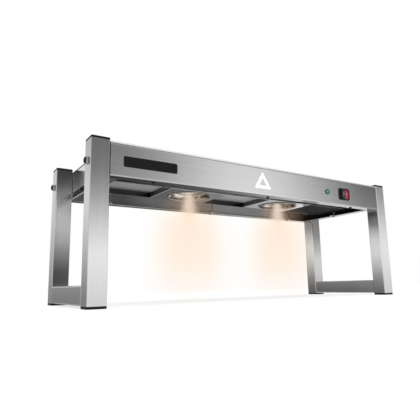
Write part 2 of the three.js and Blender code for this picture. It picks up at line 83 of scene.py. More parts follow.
# ------------------------------------------------------------------ node helpers
class Nodes:
    """A small wrapper that keeps node trees readable."""

    def __init__(self, tree):
        self.t = tree
        self.t.nodes.clear()

    def n(self, kind, values=None, **props):
        node = self.t.nodes.new(kind)
        for k, v in props.items():
            setattr(node, k, v)
        for k, v in (values or {}).items():
            sock = node.inputs[k]
            if isinstance(v, bpy.types.NodeSocket):
                self.t.links.new(v, sock)
            else:
                sock.default_value = v
        return node

    def link(self, a, b):
        self.t.links.new(a, b)

    def math(self, op, a, b=0.0, c=None, clamp=False):
        node = self.t.nodes.new("ShaderNodeMath")
        node.operation = op
        node.use_clamp = clamp
        for i, v in enumerate((a, b) if c is None else (a, b, c)):
            if isinstance(v, bpy.types.NodeSocket):
                self.t.links.new(v, node.inputs[i])
            else:
                node.inputs[i].default_value = v
        return node.outputs[0]

    def ramp(self, fac, stops, interpolation="EASE"):
        """Grey ramp: stops are (position, value)."""
        node = self.t.nodes.new("ShaderNodeValToRGB")
        cr = node.color_ramp
        cr.interpolation = interpolation
        while len(cr.elements) > 1:
            cr.elements.remove(cr.elements[-1])
        for i, (p, v) in enumerate(stops):
            e = cr.elements[0] if i == 0 else cr.elements.new(p)
            e.position = p
            e.color = (v, v, v, 1.0)
        self.t.links.new(fac, node.inputs["Fac"])
        return node.outputs["Color"]

    def span(self, value, a, b, c=0.0, d=1.0, smooth=False):
        node = self.t.nodes.new("ShaderNodeMapRange")
        node.interpolation_type = "SMOOTHSTEP" if smooth else "LINEAR"
        node.clamp = True
        self.t.links.new(value, node.inputs["Value"])
        for k, v in (("From Min", a), ("From Max", b), ("To Min", c), ("To Max", d)):
            node.inputs[k].default_value = v
        return node.outputs["Result"]

    def noise(self, vector, scale, detail=2.0, rough=0.5):
        return self.n("ShaderNodeTexNoise", {"Vector": vector, "Scale": scale, "Detail": detail, "Roughness": rough}).outputs["Fac"]

    def stretch(self, vector, s):
        return self.n("ShaderNodeMapping", {"Vector": vector, "Scale": s}).outputs["Vector"]

    def mix(self, fac, a, b, blend="MIX"):
        node = self.t.nodes.new("ShaderNodeMix")
        node.data_type = "RGBA"
        node.blend_type = blend
        node.clamp_result = False
        for key, v in ((0, fac), (6, a), (7, b)):
            if isinstance(v, bpy.types.NodeSocket):
                self.t.links.new(v, node.inputs[key])
            elif key == 0:
                node.inputs[0].default_value = v
            else:
                node.inputs[key].default_value = (*v, 1.0) if len(v) == 3 else v
        return node.outputs[2]


def material(name):
    m = bpy.data.materials.new(name)
    m.use_nodes = True
    return m, Nodes(m.node_tree)


def finish_principled(N, **inputs):
    bsdf = N.n("ShaderNodeBsdfPrincipled", inputs)
    out = N.n("ShaderNodeOutputMaterial", {"Surface": bsdf.outputs[0]})
    return bsdf, out


# ------------------------------------------------------------------ materials
def steel(name, grain="x", tone=0.66, rough=0.20, ramps=(), tint=(1.0, 1.0, 1.0), contrast=1.0, aniso=0.45, faces=(), edge=0.0):
    """Brushed stainless steel. grain is the brushing direction, ramps are painted reflection and shade,
    slow changes across the piece: (axis, low mm, high mm, [(position, factor), ...]); faces are the same
    painted reflection and shade for the sides that look along one direction: (direction, axis, low mm, high mm, stops)."""
    m, N = material(name)
    pos = N.n("ShaderNodeTexCoord").outputs["Object"]
    sep = N.n("ShaderNodeSeparateXYZ", {"Vector": pos}).outputs
    fine_s = {"x": (9, 1500, 1500), "y": (1500, 9, 1500), "z": (1500, 1500, 9)}[grain]
    mid_s = {"x": (3, 420, 420), "y": (420, 3, 420), "z": (420, 420, 3)}[grain]
    fine = N.noise(N.stretch(pos, fine_s), 1.0, 3.0, 0.65)
    mid = N.noise(N.stretch(pos, mid_s), 1.0, 2.0, 0.5)
    cloud = N.noise(pos, 6.0, 2.0, 0.5)
    value = N.math("MULTIPLY_ADD", fine, 0.10 * contrast, tone - 0.05 * contrast)
    value = N.math("ADD", value, N.math("MULTIPLY_ADD", mid, 0.09 * contrast, -0.045 * contrast))
    value = N.math("ADD", value, N.math("MULTIPLY_ADD", cloud, 0.05, -0.025))
    # painted reflection and shade: the colour is scaled along the piece
    for axis, lo, hi, stops in ramps:
        t = N.span(sep["XYZ".index(axis.upper())], lo * MM, hi * MM)
        value = N.math("MULTIPLY", value, N.ramp(t, stops, "LINEAR"))
    # painted reflection and shade by side: a side that looks one way is made brighter or darker along an axis
    if faces:
        nrm = N.n("ShaderNodeSeparateXYZ", {"Vector": N.n("ShaderNodeTexCoord").outputs["Normal"]}).outputs
    for look, axis, lo, hi, stops in faces:
        facing = N.math("MULTIPLY", nrm["xyz".index(look[1])], 1.0 if look[0] == "+" else -1.0)
        mask = N.span(facing, 0.55, 0.95, 0.0, 1.0, True)
        t = N.span(sep["XYZ".index(axis.upper())], lo * MM, hi * MM)
        soft = N.ramp(t, [(q, min(1.0, f / 2.0)) for q, f in stops], "B_SPLINE" if len(stops) > 8 else "LINEAR")
        value = N.math("MULTIPLY", value, N.mix(mask, (1.0, 1.0, 1.0), N.mix(1.0, soft, (2.0, 2.0, 2.0), "MULTIPLY")))
    colour = N.mix(1.0, value, tint, "MULTIPLY")
    r = N.math("MULTIPLY_ADD", mid, 0.10, rough - 0.05)
    r = N.math("ADD", r, N.math("MULTIPLY_ADD", cloud, 0.06, -0.03))
    bump = N.n("ShaderNodeBump", {"Strength": 0.16 * contrast, "Distance": 0.00006, "Height": fine}).outputs["Normal"]
    direction = {"x": (1.0, 0.0, 0.0), "y": (0.0, 1.0, 0.0), "z": (0.0, 0.0, 1.0)}[grain]
    tangent = N.n("ShaderNodeCombineXYZ", {"X": direction[0], "Y": direction[1], "Z": direction[2]}).outputs[0]
    finish_principled(N, **{"Base Color": colour, "Metallic": 1.0, "Roughness": r, "Normal": bump,
                            "Anisotropic": aniso, "Tangent": tangent, "Specular IOR Level": 0.5})
    return m


def plastic(name, colour=(0.007, 0.007, 0.008), rough=0.55, grain=900.0, bump=0.25, coat=0.0, vary=0.35, spec=0.14):
    """Moulded plastic with a fine spark-eroded texture and slightly uneven gloss."""
    m, N = material(name)
    pos = N.n("ShaderNodeTexCoord").outputs["Object"]
    g = N.noise(pos, grain, 3.0, 0.6)
    c = N.noise(pos, 45.0, 3.0, 0.55)
    lo = tuple(x * (1 - vary) for x in colour)
    hi = tuple(min(1.0, x * (1 + vary)) for x in colour)
    colour = N.mix(c, lo, hi)
    r = N.math("MULTIPLY_ADD", c, 0.16, rough - 0.08)
    b = N.n("ShaderNodeBump", {"Strength": bump, "Distance": 0.00005, "Height": g}).outputs["Normal"]
    finish_principled(N, **{"Base Color": colour, "Roughness": r, "Normal": b, "Coat Weight": coat, "Coat Roughness": 0.08,
                            "Specular IOR Level": spec})
    return m


def black_metal(name, colour=(0.012, 0.012, 0.013), rough=0.34, coat=0.3, metal=0.25, spec=0.5):
    m, N = material(name)
    pos = N.n("ShaderNodeTexCoord").outputs["Object"]
    g = N.noise(pos, 700.0, 4.0, 0.7)
    c = N.noise(pos, 60.0, 3.0, 0.6)
    colour = N.mix(c, tuple(x * 0.6 for x in colour), tuple(x * 1.7 for x in colour))
    r = N.math("MULTIPLY_ADD", c, 0.18, rough - 0.09)
    b = N.n("ShaderNodeBump", {"Strength": 0.3, "Distance": 0.00008, "Height": g}).outputs["Normal"]
    finish_principled(N, **{"Base Color": colour, "Roughness": r, "Normal": b, "Metallic": metal,
                            "Coat Weight": coat, "Coat Roughness": 0.2, "Specular IOR Level": spec})
    return m


def mill(name, colour=(0.74, 0.74, 0.75)):
    """Unpolished inside of the sheet: dull, with faint rolling streaks and painted shade towards the hood's ends."""
    m, N = material(name)
    pos = N.n("ShaderNodeTexCoord").outputs["Object"]
    streak = N.noise(N.stretch(pos, (4, 260, 260)), 1.0, 4.0, 0.6)
    cloud = N.noise(pos, 14.0, 3.0, 0.6)
    v = N.math("MULTIPLY_ADD", streak, 0.5, 0.55)
    v = N.math("ADD", v, N.math("MULTIPLY_ADD", cloud, 0.3, -0.15))
    # painted shade: darker towards both ends of the hood, brightest right of the middle
    along = N.span(N.n("ShaderNodeSeparateXYZ", {"Vector": pos}).outputs[0], -0.412, 0.412)
    v = N.math("MULTIPLY", v, N.ramp(along, [(0.0, 0.30), (0.18, 0.36), (0.29, 0.68), (0.40, 0.80), (0.62, 1.0), (0.82, 1.0), (0.90, 0.6), (1.0, 0.25)], "LINEAR"))
    col = N.mix(1.0, v, colour, "MULTIPLY")
    b = N.n("ShaderNodeBump", {"Strength": 0.15, "Distance": 0.00005, "Height": streak}).outputs["Normal"]
    finish_principled(N, **{"Base Color": col, "Metallic": 0.35, "Roughness": N.math("MULTIPLY_ADD", cloud, 0.15, 0.36), "Normal": b})
    return m


def spun(name, colour=(0.90, 0.87, 0.82), rough=0.05):
    """Polished spun aluminium: fine rings about the cup's own axis."""
    m, N = material(name)
    pos = N.n("ShaderNodeTexCoord").outputs["Object"]
    sep = N.n("ShaderNodeSeparateXYZ", {"Vector": pos}).outputs
    # both cups share one pattern, laid out from the nearer lamp centre
    u = N.math("SUBTRACT", sep[0], N.math("MULTIPLY", N.math("SIGN", sep[0]), 0.150))
    rad = N.math("SQRT", N.math("ADD", N.math("MULTIPLY", u, u), N.math("MULTIPLY", sep[1], sep[1])))
    ring = N.n("ShaderNodeCombineXYZ", {"X": rad, "Y": sep[2], "Z": 0.0}).outputs[0]
    g = N.noise(ring, 1400.0, 3.0, 0.6)
    c = N.noise(pos, 70.0, 3.0, 0.6)
    colour = N.mix(c, tuple(x * 0.90 for x in colour), colour)
    # painted dark reflection in rings, strongest on the right of the cup; the left end stays bright with a painted
    # glint
    wavy = N.math("ADD", N.math("MULTIPLY", sep[2], 760.0), N.math("MULTIPLY", N.noise(N.stretch(pos, (60, 60, 60)), 1.0, 2.0, 0.5), 5.0))
    rib = N.math("MULTIPLY_ADD", N.math("SINE", wavy), 0.5, 0.5)
    spots = N.span(N.noise(N.stretch(pos, (190, 80, 110)), 1.0, 2.0, 0.6), 0.46, 0.56)
    tan = N.span(u, -0.052, 0.052, 0.0, 1.0)
    reflection_amount = N.ramp(tan, [(0.0, 0.0), (0.19, 0.0), (0.23, 0.90), (0.27, 0.55), (0.34, 0.30), (0.56, 0.35), (0.66, 0.85), (0.85, 0.97), (1.0, 1.0)], "LINEAR")
    dark_reflection = N.mix(N.math("MULTIPLY", N.math("ADD", rib, spots), 0.5), (0.020, 0.015, 0.009), (0.52, 0.44, 0.34))
    inside = N.span(sep[2], 0.2630, 0.2650, 0.0, 1.0, True)
    colour = N.mix(N.math("MULTIPLY", reflection_amount, inside), colour, dark_reflection)
    colour = N.mix(N.math("SUBTRACT", 1.0, inside), colour, (0.36, 0.34, 0.31))
    r = N.math("MULTIPLY_ADD", c, 0.10, rough)
    b = N.n("ShaderNodeBump", {"Strength": 0.35, "Distance": 0.00010, "Height": g}).outputs["Normal"]
    # painted glint: the cup's left end glows warm white
    lit = N.math("MULTIPLY", N.ramp(tan, [(0.0, 1.0), (0.18, 1.0), (0.22, 0.0), (1.0, 0.0)], "LINEAR"), inside)
    finish_principled(N, **{"Base Color": colour, "Metallic": 1.0, "Roughness": r, "Normal": b,
                            "Emission Color": (1.0, 0.96, 0.88, 1.0), "Emission Strength": N.math("MULTIPLY", lit, 0.55)})
    return m


def ceramic(name, colour=(0.80, 0.77, 0.70)):
    m, N = material(name)
    pos = N.n("ShaderNodeTexCoord").outputs["Object"]
    c = N.noise(pos, 120.0, 4.0, 0.6)
    speck = N.span(N.noise(pos, 900.0, 1.0, 0.5), 0.70, 0.78)
    colour = N.mix(c, tuple(x * 0.88 for x in colour), colour)
    colour = N.mix(N.math("MULTIPLY", speck, 0.4), colour, (0.35, 0.30, 0.24))
    b = N.n("ShaderNodeBump", {"Strength": 0.2, "Distance": 0.0001, "Height": c}).outputs["Normal"]
    finish_principled(N, **{"Base Color": colour, "Roughness": N.math("MULTIPLY_ADD", c, 0.2, 0.28), "Normal": b,
                            "Subsurface Weight": 0.05})
    return m


def sleeve(name, colour):
    """Woven heat-proof sleeving."""
    m, N = material(name)
    pos = N.n("ShaderNodeTexCoord").outputs["Object"]
    w1 = N.n("ShaderNodeTexWave", {"Vector": pos, "Scale": 420.0, "Distortion": 1.5}, wave_type="BANDS", bands_direction="DIAGONAL").outputs["Fac"]
    w2 = N.n("ShaderNodeTexWave", {"Vector": N.stretch(pos, (-1, 1, 1)), "Scale": 420.0, "Distortion": 1.5}, wave_type="BANDS", bands_direction="DIAGONAL").outputs["Fac"]
    weave = N.math("MULTIPLY", w1, w2)
    col = N.mix(weave, tuple(x * 0.55 for x in colour), colour)
    b = N.n("ShaderNodeBump", {"Strength": 0.6, "Distance": 0.0003, "Height": weave}).outputs["Normal"]
    finish_principled(N, **{"Base Color": col, "Roughness": 0.75, "Normal": b, "Sheen Weight": 0.2})
    return m


def glossy_plastic(name, colour, emission=0.0, rough=0.16, trans=0.0, coat=0.5, spec=0.5):
    m, N = material(name)
    pos = N.n("ShaderNodeTexCoord").outputs["Object"]
    c = N.noise(pos, 160.0, 3.0, 0.6)
    g = N.noise(pos, 1500.0, 2.0, 0.5)
    col = N.mix(c, tuple(x * 0.72 for x in colour), tuple(min(1, x * 1.15) for x in colour))
    b = N.n("ShaderNodeBump", {"Strength": 0.12, "Distance": 0.00004, "Height": g}).outputs["Normal"]
    finish_principled(N, **{"Base Color": col, "Roughness": N.math("MULTIPLY_ADD", c, 0.12, rough - 0.04), "Normal": b,
                            "Coat Weight": coat, "Coat Roughness": 0.05, "Transmission Weight": trans, "Specular IOR Level": spec,
                            "Emission Color": (*colour, 1.0), "Emission Strength": emission})
    return m


def pilot_lens(name, x, z):
    """Green moulded lens with a painted highlight: paler in the middle."""
    m, N = material(name)
    pos = N.n("ShaderNodeTexCoord").outputs["Object"]
    sep = N.n("ShaderNodeSeparateXYZ", {"Vector": pos}).outputs
    du, dv = N.math("SUBTRACT", sep[0], x), N.math("SUBTRACT", sep[2], z)
    rad = N.math("SQRT", N.math("ADD", N.math("MULTIPLY", du, du), N.math("MULTIPLY", dv, dv)))
    c = N.noise(pos, 160.0, 3.0, 0.6)
    # painted highlight: the middle of the lens is paler
    col = N.mix(N.span(rad, 0.0018, 0.0034, 0.0, 1.0, True), (0.26, 0.33, 0.30), (0.030, 0.150, 0.115))
    col = N.mix(N.math("MULTIPLY", c, 0.35), col, (0.02, 0.09, 0.07))
    b = N.n("ShaderNodeBump", {"Strength": 0.12, "Distance": 0.00004, "Height": N.noise(pos, 1500.0, 2.0, 0.5)}).outputs["Normal"]
    finish_principled(N, **{"Base Color": col, "Roughness": 0.14, "Normal": b, "Coat Weight": 0.4, "Coat Roughness": 0.05,
                            "Specular IOR Level": 0.4, "Emission Color": (0.10, 0.30, 0.22, 1.0), "Emission Strength": 0.10})
    return m


def brass(name):
    m, N = material(name)
    pos = N.n("ShaderNodeTexCoord").outputs["Object"]
    c = N.noise(pos, 180.0, 4.0, 0.6)
    col = N.mix(c, (0.62, 0.42, 0.16), (0.80, 0.60, 0.28))
    finish_principled(N, **{"Base Color": col, "Metallic": 1.0, "Roughness": N.math("MULTIPLY_ADD", c, 0.25, 0.2)})
    return m


def quartz(name):
    """Clear quartz tube with a faint warm tint that varies in patches."""
    m, N = material(name)
    pos = N.n("ShaderNodeTexCoord").outputs["Object"]
    c = N.noise(pos, 220.0, 3.0, 0.5)
    tint = N.mix(c, (1.0, 0.93, 0.82), (1.0, 0.97, 0.91))
    glass = N.n("ShaderNodeBsdfPrincipled", {"Base Color": tint, "Roughness": N.math("MULTIPLY_ADD", c, 0.05, 0.02),
                                             "IOR": 1.2, "Transmission Weight": 1.0})
    clear = N.n("ShaderNodeBsdfTransparent", {"Color": tint})
    mix = N.n("ShaderNodeMixShader", {"Fac": 0.55})
    N.link(glass.outputs[0], mix.inputs[1])
    N.link(clear.outputs[0], mix.inputs[2])
    N.n("ShaderNodeOutputMaterial", {"Surface": mix.outputs[0]})
    return m


def glow(name, colour, strength):
    """Hot tungsten: brightness varies in small patches along the wire."""
    m, N = material(name)
    pos = N.n("ShaderNodeTexCoord").outputs["Object"]
    c = N.noise(N.stretch(pos, (1.0, 1.0, 1.0)), 500.0, 2.0, 0.5)
    s = N.math("MULTIPLY_ADD", c, strength * 0.6, strength * 0.7)
    e = N.n("ShaderNodeEmission", {"Color": (*colour, 1.0), "Strength": s})
    N.n("ShaderNodeOutputMaterial", {"Surface": e.outputs[0]})
    return m


def printed(name, colour, rough=0.5):
    """Screen-printed ink with a faint mottled edge-to-edge coverage."""
    m, N = material(name)
    pos = N.n("ShaderNodeTexCoord").outputs["Object"]
    c = N.noise(pos, 600.0, 4.0, 0.7)
    lo = tuple(x * 0.80 for x in colour)
    col = N.mix(c, lo, colour)
    b = N.n("ShaderNodeBump", {"Strength": 0.2, "Distance": 0.00003, "Height": c}).outputs["Normal"]
    finish_principled(N, **{"Base Color": col, "Roughness": rough, "Normal": b, "Specular IOR Level": 0.12})
    return m


# painted reflection across the front panel's face, and painted shade along the underside of its lip, darker at the left
FRONT_PAINTED_REFLECTION = [(0.0, 0.78), (0.136, 0.90), (0.257, 1.08), (0.379, 1.20), (0.5, 1.20), (0.621, 1.08), (0.743, 0.88), (0.816, 0.72), (0.888, 0.58), (1.0, 0.45)]
LIP_PAINTED_SHADE = [(0.0, 0.20), (0.3, 0.38), (0.5, 0.55), (0.62, 0.85), (1.0, 0.85)]


def post_painted_light(front, outer, inner):
    """Painted reflection and shade down a post's sides, as (height mm, factor) lists."""
    def stops(pairs):
        return [((z - 10) / 310.0, f) for z, f in sorted(pairs)]
    out = []
    for look, pairs in (("-y", front), ("-x", outer), ("+x", inner)):
        if pairs:
            out.append((look, "z", 10, 320, stops(pairs)))
    return out


MAT = {
    # the posts' sides carry painted reflection and shade that changes with height
    "post_left_front": steel("steel_post_lf", "z", rough=0.16, faces=post_painted_light([(10, 1.0), (60, 1.08), (100, 1.17), (140, 1.12), (180, 1.03), (220, 0.86), (260, 0.72), (320, 0.68)], [(10, 0.92), (320, 0.88)], [])),
    "post_left_rear": steel("steel_post_lr", "z", rough=0.26, faces=post_painted_light([(10, 0.24), (44, 0.24), (50, 0.12), (72, 0.14), (86, 0.18), (101, 0.29), (115, 0.37), (129, 0.49), (143, 0.63), (172, 0.88), (201, 1.05), (215, 1.15), (229, 1.15), (244, 0.90), (258, 0.78), (272, 0.50), (287, 0.30), (301, 0.19), (315, 0.14), (320, 0.13)], [(10, 0.85), (320, 0.85)], [])),
    "post_right_front": steel("steel_post_rf", "z", rough=0.16, faces=post_painted_light([(10, 0.92), (60, 0.98), (100, 1.06), (180, 1.12), (260, 1.2), (320, 1.2)], [(10, 0.6), (50, 0.78), (80, 1.05), (120, 1.25), (160, 1.2), (200, 0.85), (320, 0.8)], [])),
    "post_right_rear": steel("steel_post_rr", "z", rough=0.16, faces=post_painted_light([(10, 0.75), (55, 0.80), (80, 0.88), (120, 0.88), (160, 0.63), (200, 0.40), (240, 0.35), (320, 0.35)], [(10, 0.6), (50, 0.80), (80, 0.98), (120, 1.2), (160, 1.3), (200, 1.05), (225, 0.80), (320, 0.7)], [])),
    # painted shade on the stretchers' sides that face left
    "stretcher_left": steel("steel_stretcher_l", "y", rough=0.18, faces=[("-x", "y", -112, 112, [(0.0, 0.90), (1.0, 0.84)])]),
    "stretcher_right": steel("steel_stretcher_r", "y", rough=0.18, faces=[("-x", "y", -112, 112, [(0.0, 0.70), (1.0, 0.70)])]),
    "front": steel("steel_front", "x", faces=[("-y", "x", -412, 412, FRONT_PAINTED_REFLECTION), ("-z", "x", -412, 412, LIP_PAINTED_SHADE)]),
    "shell": steel("steel_shell", "x"),
    # painted highlight: the lid's front face is brighter
    "lid": steel("steel_lid", "x", faces=[("-y", "x", -412, 412, [(0.0, 1.3), (1.0, 1.3)])]),
    # painted shade under the end lips, painted highlight on the sides that face left
    "shell_y": steel("steel_shell_cross", "y", faces=[("-z", "y", -127, 127, [(0.0, 0.62), (1.0, 0.62)]), ("-x", "y", -127, 127, [(0.0, 1.3), (1.0, 1.3)])]),
    "tray": steel("steel_tray", "x", tone=0.76, rough=0.38),
    "plate": steel("steel_plate", "y", rough=0.14),
    # painted shade on the front rail's rear face and the rear rail's front face; painted highlight on the rear rail's
    # strip at the back
    "rail_front": steel("steel_rail_front", "x", rough=0.20, faces=[("+y", "z", 250, 300, [(0.0, 0.07), (1.0, 0.07)])]),
    "rail_rear": steel("steel_rail_rear", "x", rough=0.20, faces=[("-y", "y", 0, 125, [(0.0, 0.05), (0.80, 0.05), (0.90, 1.5), (1.0, 1.5)])]),
    "bolt_steel": steel("steel_fixing", "y", tone=0.42, rough=0.30, contrast=0.5, aniso=0.0),
    "plastic": plastic("moulded_black"),
    "mill": mill("steel_mill_finish"),
    # a dark copy of the mill finish: painted shade
    "mill_painted_shade": mill("steel_mill_dark", (0.07, 0.07, 0.072)),
    "switch": plastic("switch_black", (0.006, 0.006, 0.007), 0.42, 1200.0, 0.15, 0.3),
    # black sheet for the control bay cover, also painted shade on the right end panel's inner face
    "black_and_painted_shade": black_metal("black_sheet", (0.008, 0.008, 0.009), 0.60, 0.0, 0.0, 0.07),
    "fastener": black_metal("black_fastener", (0.010, 0.010, 0.011), 0.42, 0.0, 0.0, 0.25),
    "spun": spun("spun_aluminium"),
    "ceramic": ceramic("glazed_ceramic"),
    "sleeve_white": sleeve("sleeve_white", (0.74, 0.71, 0.64)),
    "sleeve_black": sleeve("sleeve_black", (0.05, 0.05, 0.055)),
    "sleeve_red": sleeve("sleeve_red", (0.30, 0.07, 0.05)),
    # the red rocker has a faint painted glow
    "rocker_red": glossy_plastic("rocker_red", (0.24, 0.009, 0.026), 0.08, 0.22, 0.0, 0.25, 0.4),
    "rocker_black": glossy_plastic("rocker_black", (0.007, 0.007, 0.008), 0.0, 0.35, 0.0, 0.0, 0.15),
    "mark": printed("mark_white", (0.60, 0.42, 0.44)),
    "bezel": glossy_plastic("pilot_bezel_green", (0.012, 0.085, 0.065)),
    "brass": brass("brass_terminal"),
    "quartz": quartz("quartz_tube"),
    "filament": glow("filament", (1.0, 0.82, 0.60), 9.0),
    "print_dark": printed("print_dark", (0.007, 0.007, 0.008), 0.65),
    "print_white": printed("print_white", (0.88, 0.88, 0.88)),
}


# ------------------------------------------------------------------ mesh helpers
def obj_from_bm(name, bm, mat, smooth=34.0, weighted=True):
    """Builds the object; the bmesh is in millimetres."""
    bmesh.ops.recalc_face_normals(bm, faces=bm.faces[:])
    bmesh.ops.scale(bm, vec=(MM, MM, MM), verts=bm.verts[:])
    me = bpy.data.meshes.new(name)
    bm.to_mesh(me)
    bm.free()
    ob = bpy.data.objects.new(name, me)
    scene.collection.objects.link(ob)
    me.materials.append(MAT[mat] if isinstance(mat, str) else mat)
    shade(ob, smooth, weighted)
    return ob


def shade(ob, smooth=34.0, weighted=True):
    me = ob.data
    me.shade_smooth()
    me.set_sharp_from_angle(angle=radians(smooth))
    if weighted:
        mod = ob.modifiers.new("weighted", "WEIGHTED_NORMAL")
        mod.weight = 90
        mod.keep_sharp = True


def rect_loop(hx, hy, r, z, n=5, cx=0.0, cy=0.0):
    r = min(max(r, 0.02), hx - 1e-3, hy - 1e-3)
    pts = []
    for sx, sy, a0 in ((1, 1, 0), (-1, 1, 90), (-1, -1, 180), (1, -1, 270)):
        for i in range(n + 1):
            a = radians(a0 + 90 * i / n)
            pts.append(Vector((cx + sx * (hx - r) + r * cos(a), cy + sy * (hy - r) + r * sin(a), z)))
    return pts


def circle_loop(r, z, n=48):
    return [Vector((r * cos(2 * pi * i / n), r * sin(2 * pi * i / n), z)) for i in range(n)]


def loft(loops, ring=False, bm=None):
    """Skins a run of equal loops; the ends are capped, or joined to each other for a ring."""
    bm = bm or bmesh.new()
    rows = [[bm.verts.new(p) for p in loop] for loop in loops]
    count = len(rows[0])
    pairs = list(zip(rows, rows[1:]))
    if ring:
        pairs.append((rows[-1], rows[0]))
    for a, b in pairs:
        for i in range(count):
            j = (i + 1) % count
            bm.faces.new((a[i], a[j], b[j], b[i]))
    if not ring:
        bm.faces.new(list(reversed(rows[0])))
        bm.faces.new(rows[-1])
    return bm


def place(bm, matrix):
    bmesh.ops.transform(bm, matrix=matrix, verts=bm.verts[:])
    return bm


def fillet(points, n=4, closed=True):
    """Rounds the corners of a polygon of (u, v, radius)."""
    out, m = [], len(points)
    for i, (x, y, r) in enumerate(points):
        p = Vector((x, y))
        if r <= 1e-6 or (not closed and i in (0, m - 1)):
            out.append((x, y))
            continue
        u = Vector(points[i - 1][:2]) - p
        v = Vector(points[(i + 1) % m][:2]) - p
        lu, lv = u.length, v.length
        u.normalize()
        v.normalize()
        ang = math.acos(max(-1.0, min(1.0, u.dot(v))))
        if ang > pi - 1e-3:
            out.append((x, y))
            continue
        d = min(r / math.tan(ang / 2), lu * 0.49, lv * 0.49)
        rr = d * math.tan(ang / 2)
        c = p + (u + v).normalized() * (rr / sin(ang / 2))
        s, e = p + u * d, p + v * d
        a0, a1 = math.atan2(s.y - c.y, s.x - c.x), math.atan2(e.y - c.y, e.x - c.x)
        da = (a1 - a0 + pi) % (2 * pi) - pi
        for k in range(n + 1):
            t = a0 + da * k / n
            out.append((c.x + rr * cos(t), c.y + rr * sin(t)))
    return out


def extrude(poly, t0, t1, axis="x", steps=1):
    """A closed section of (u, v) run along an axis."""
    order = {"x": lambda t, u, v: (t, u, v), "y": lambda t, u, v: (u, t, v), "z": lambda t, u, v: (u, v, t)}[axis]
    loops = []
    for k in range(steps + 1):
        t = t0 + (t1 - t0) * k / steps
        loops.append([Vector(order(t, u, v)) for u, v in poly])
    return loft(loops)


def inside(ob, mat, test):
    """Gives the faces for which test(centre mm, normal) is true a second finish."""
    ob.data.materials.append(MAT[mat])
    slot = len(ob.data.materials) - 1
    for p in ob.data.polygons:
        if test(p.center / MM, p.normal):
            p.material_index = slot


def bevel_where(bm, width, segments, test, angle=30.0):
    """Rounds the sharp edges for which test(midpoint, direction) is true."""
    bm.normal_update()
    edges = []
    for e in bm.edges:
        if len(e.link_faces) == 2 and e.calc_face_angle(0) > radians(angle):
            a, b = e.verts[0].co, e.verts[1].co
            if test((a + b) / 2, (b - a).normalized()):
                edges.append(e)
    if edges:
        bmesh.ops.bevel(bm, geom=edges, offset=width, offset_type="OFFSET", segments=segments, profile=0.5, affect="EDGES", clamp_overlap=True)
    return bm


def lathe(profile, n=64):
    """A turned body about Z. The profile starts and ends on the axis, or is a closed ring."""
    on_axis = profile[0][0] < 1e-6
    bm = bmesh.new()
    rows = []
    for r, z in profile:
        if r < 1e-6:
            rows.append([bm.verts.new((0, 0, z))])
        else:
            rows.append([bm.verts.new((r * cos(2 * pi * i / n), r * sin(2 * pi * i / n), z)) for i in range(n)])
    pairs = list(zip(rows, rows[1:]))
    if not on_axis:
        pairs.append((rows[-1], rows[0]))
    for a, b in pairs:
        for i in range(n):
            j = (i + 1) % n
            if len(a) == 1 and len(b) == 1:
                continue
            if len(a) == 1:
                bm.faces.new((a[0], b[j], b[i]))
            elif len(b) == 1:
                bm.faces.new((a[i], a[j], b[0]))
            else:
                bm.faces.new((a[i], a[j], b[j], b[i]))
    return bm


def cutter(bm):
    bmesh.ops.recalc_face_normals(bm, faces=bm.faces[:])
    bmesh.ops.scale(bm, vec=(MM, MM, MM), verts=bm.verts[:])
    me = bpy.data.meshes.new("cutter")
    bm.to_mesh(me)
    bm.free()
    ob = bpy.data.objects.new("cutter", me)
    scene.collection.objects.link(ob)
    return ob


def box_bm(x0, x1, y0, y1, z0, z1, r=0.0, axis="z", n=4):
    """A block; its four edges along the axis can be rounded."""
    if axis == "z":
        bm = loft([rect_loop((x1 - x0) / 2, (y1 - y0) / 2, r, z, n, (x0 + x1) / 2, (y0 + y1) / 2) for z in (z0, z1)])
        return bm
    if axis == "y":
        poly = [(p.x, p.y) for p in rect_loop((x1 - x0) / 2, (z1 - z0) / 2, r, 0, n, (x0 + x1) / 2, (z0 + z1) / 2)]
        return extrude(poly, y0, y1, "y")
    poly = [(p.x, p.y) for p in rect_loop((y1 - y0) / 2, (z1 - z0) / 2, r, 0, n, (y0 + y1) / 2, (z0 + z1) / 2)]
    return extrude(poly, x0, x1, "x")


def cyl_bm(axis, r, t0, t1, a, b, n=48):
    """A round bar along an axis; a and b are its centre in the other two directions."""
    poly = [(a + r * cos(2 * pi * i / n), b + r * sin(2 * pi * i / n)) for i in range(n)]
    return extrude(poly, t0, t1, axis)


def solid(ob, bms, operation="DIFFERENCE"):
    """Cuts or joins blocks, and keeps the piece one clean mesh."""
    mods = [m for m in ob.modifiers if m.type == "WEIGHTED_NORMAL"]
    for m in mods:
        ob.modifiers.remove(m)
    tools = [cutter(bm) for bm in bms]
    for t in tools:
        m = ob.modifiers.new("cut", "BOOLEAN")
        m.operation, m.solver, m.object = operation, "EXACT", t
    bpy.context.view_layer.update()
    dg = bpy.context.evaluated_depsgraph_get()
    me = bpy.data.meshes.new_from_object(ob.evaluated_get(dg), depsgraph=dg)
    ob.modifiers.clear()
    ob.data = me
    for t in tools:
        bpy.data.objects.remove(t)
    bm = bmesh.new()
    bm.from_mesh(me)
    bmesh.ops.remove_doubles(bm, verts=bm.verts[:], dist=1e-6)
    bm.to_mesh(me)
    bm.free()
    shade(ob)
    return ob


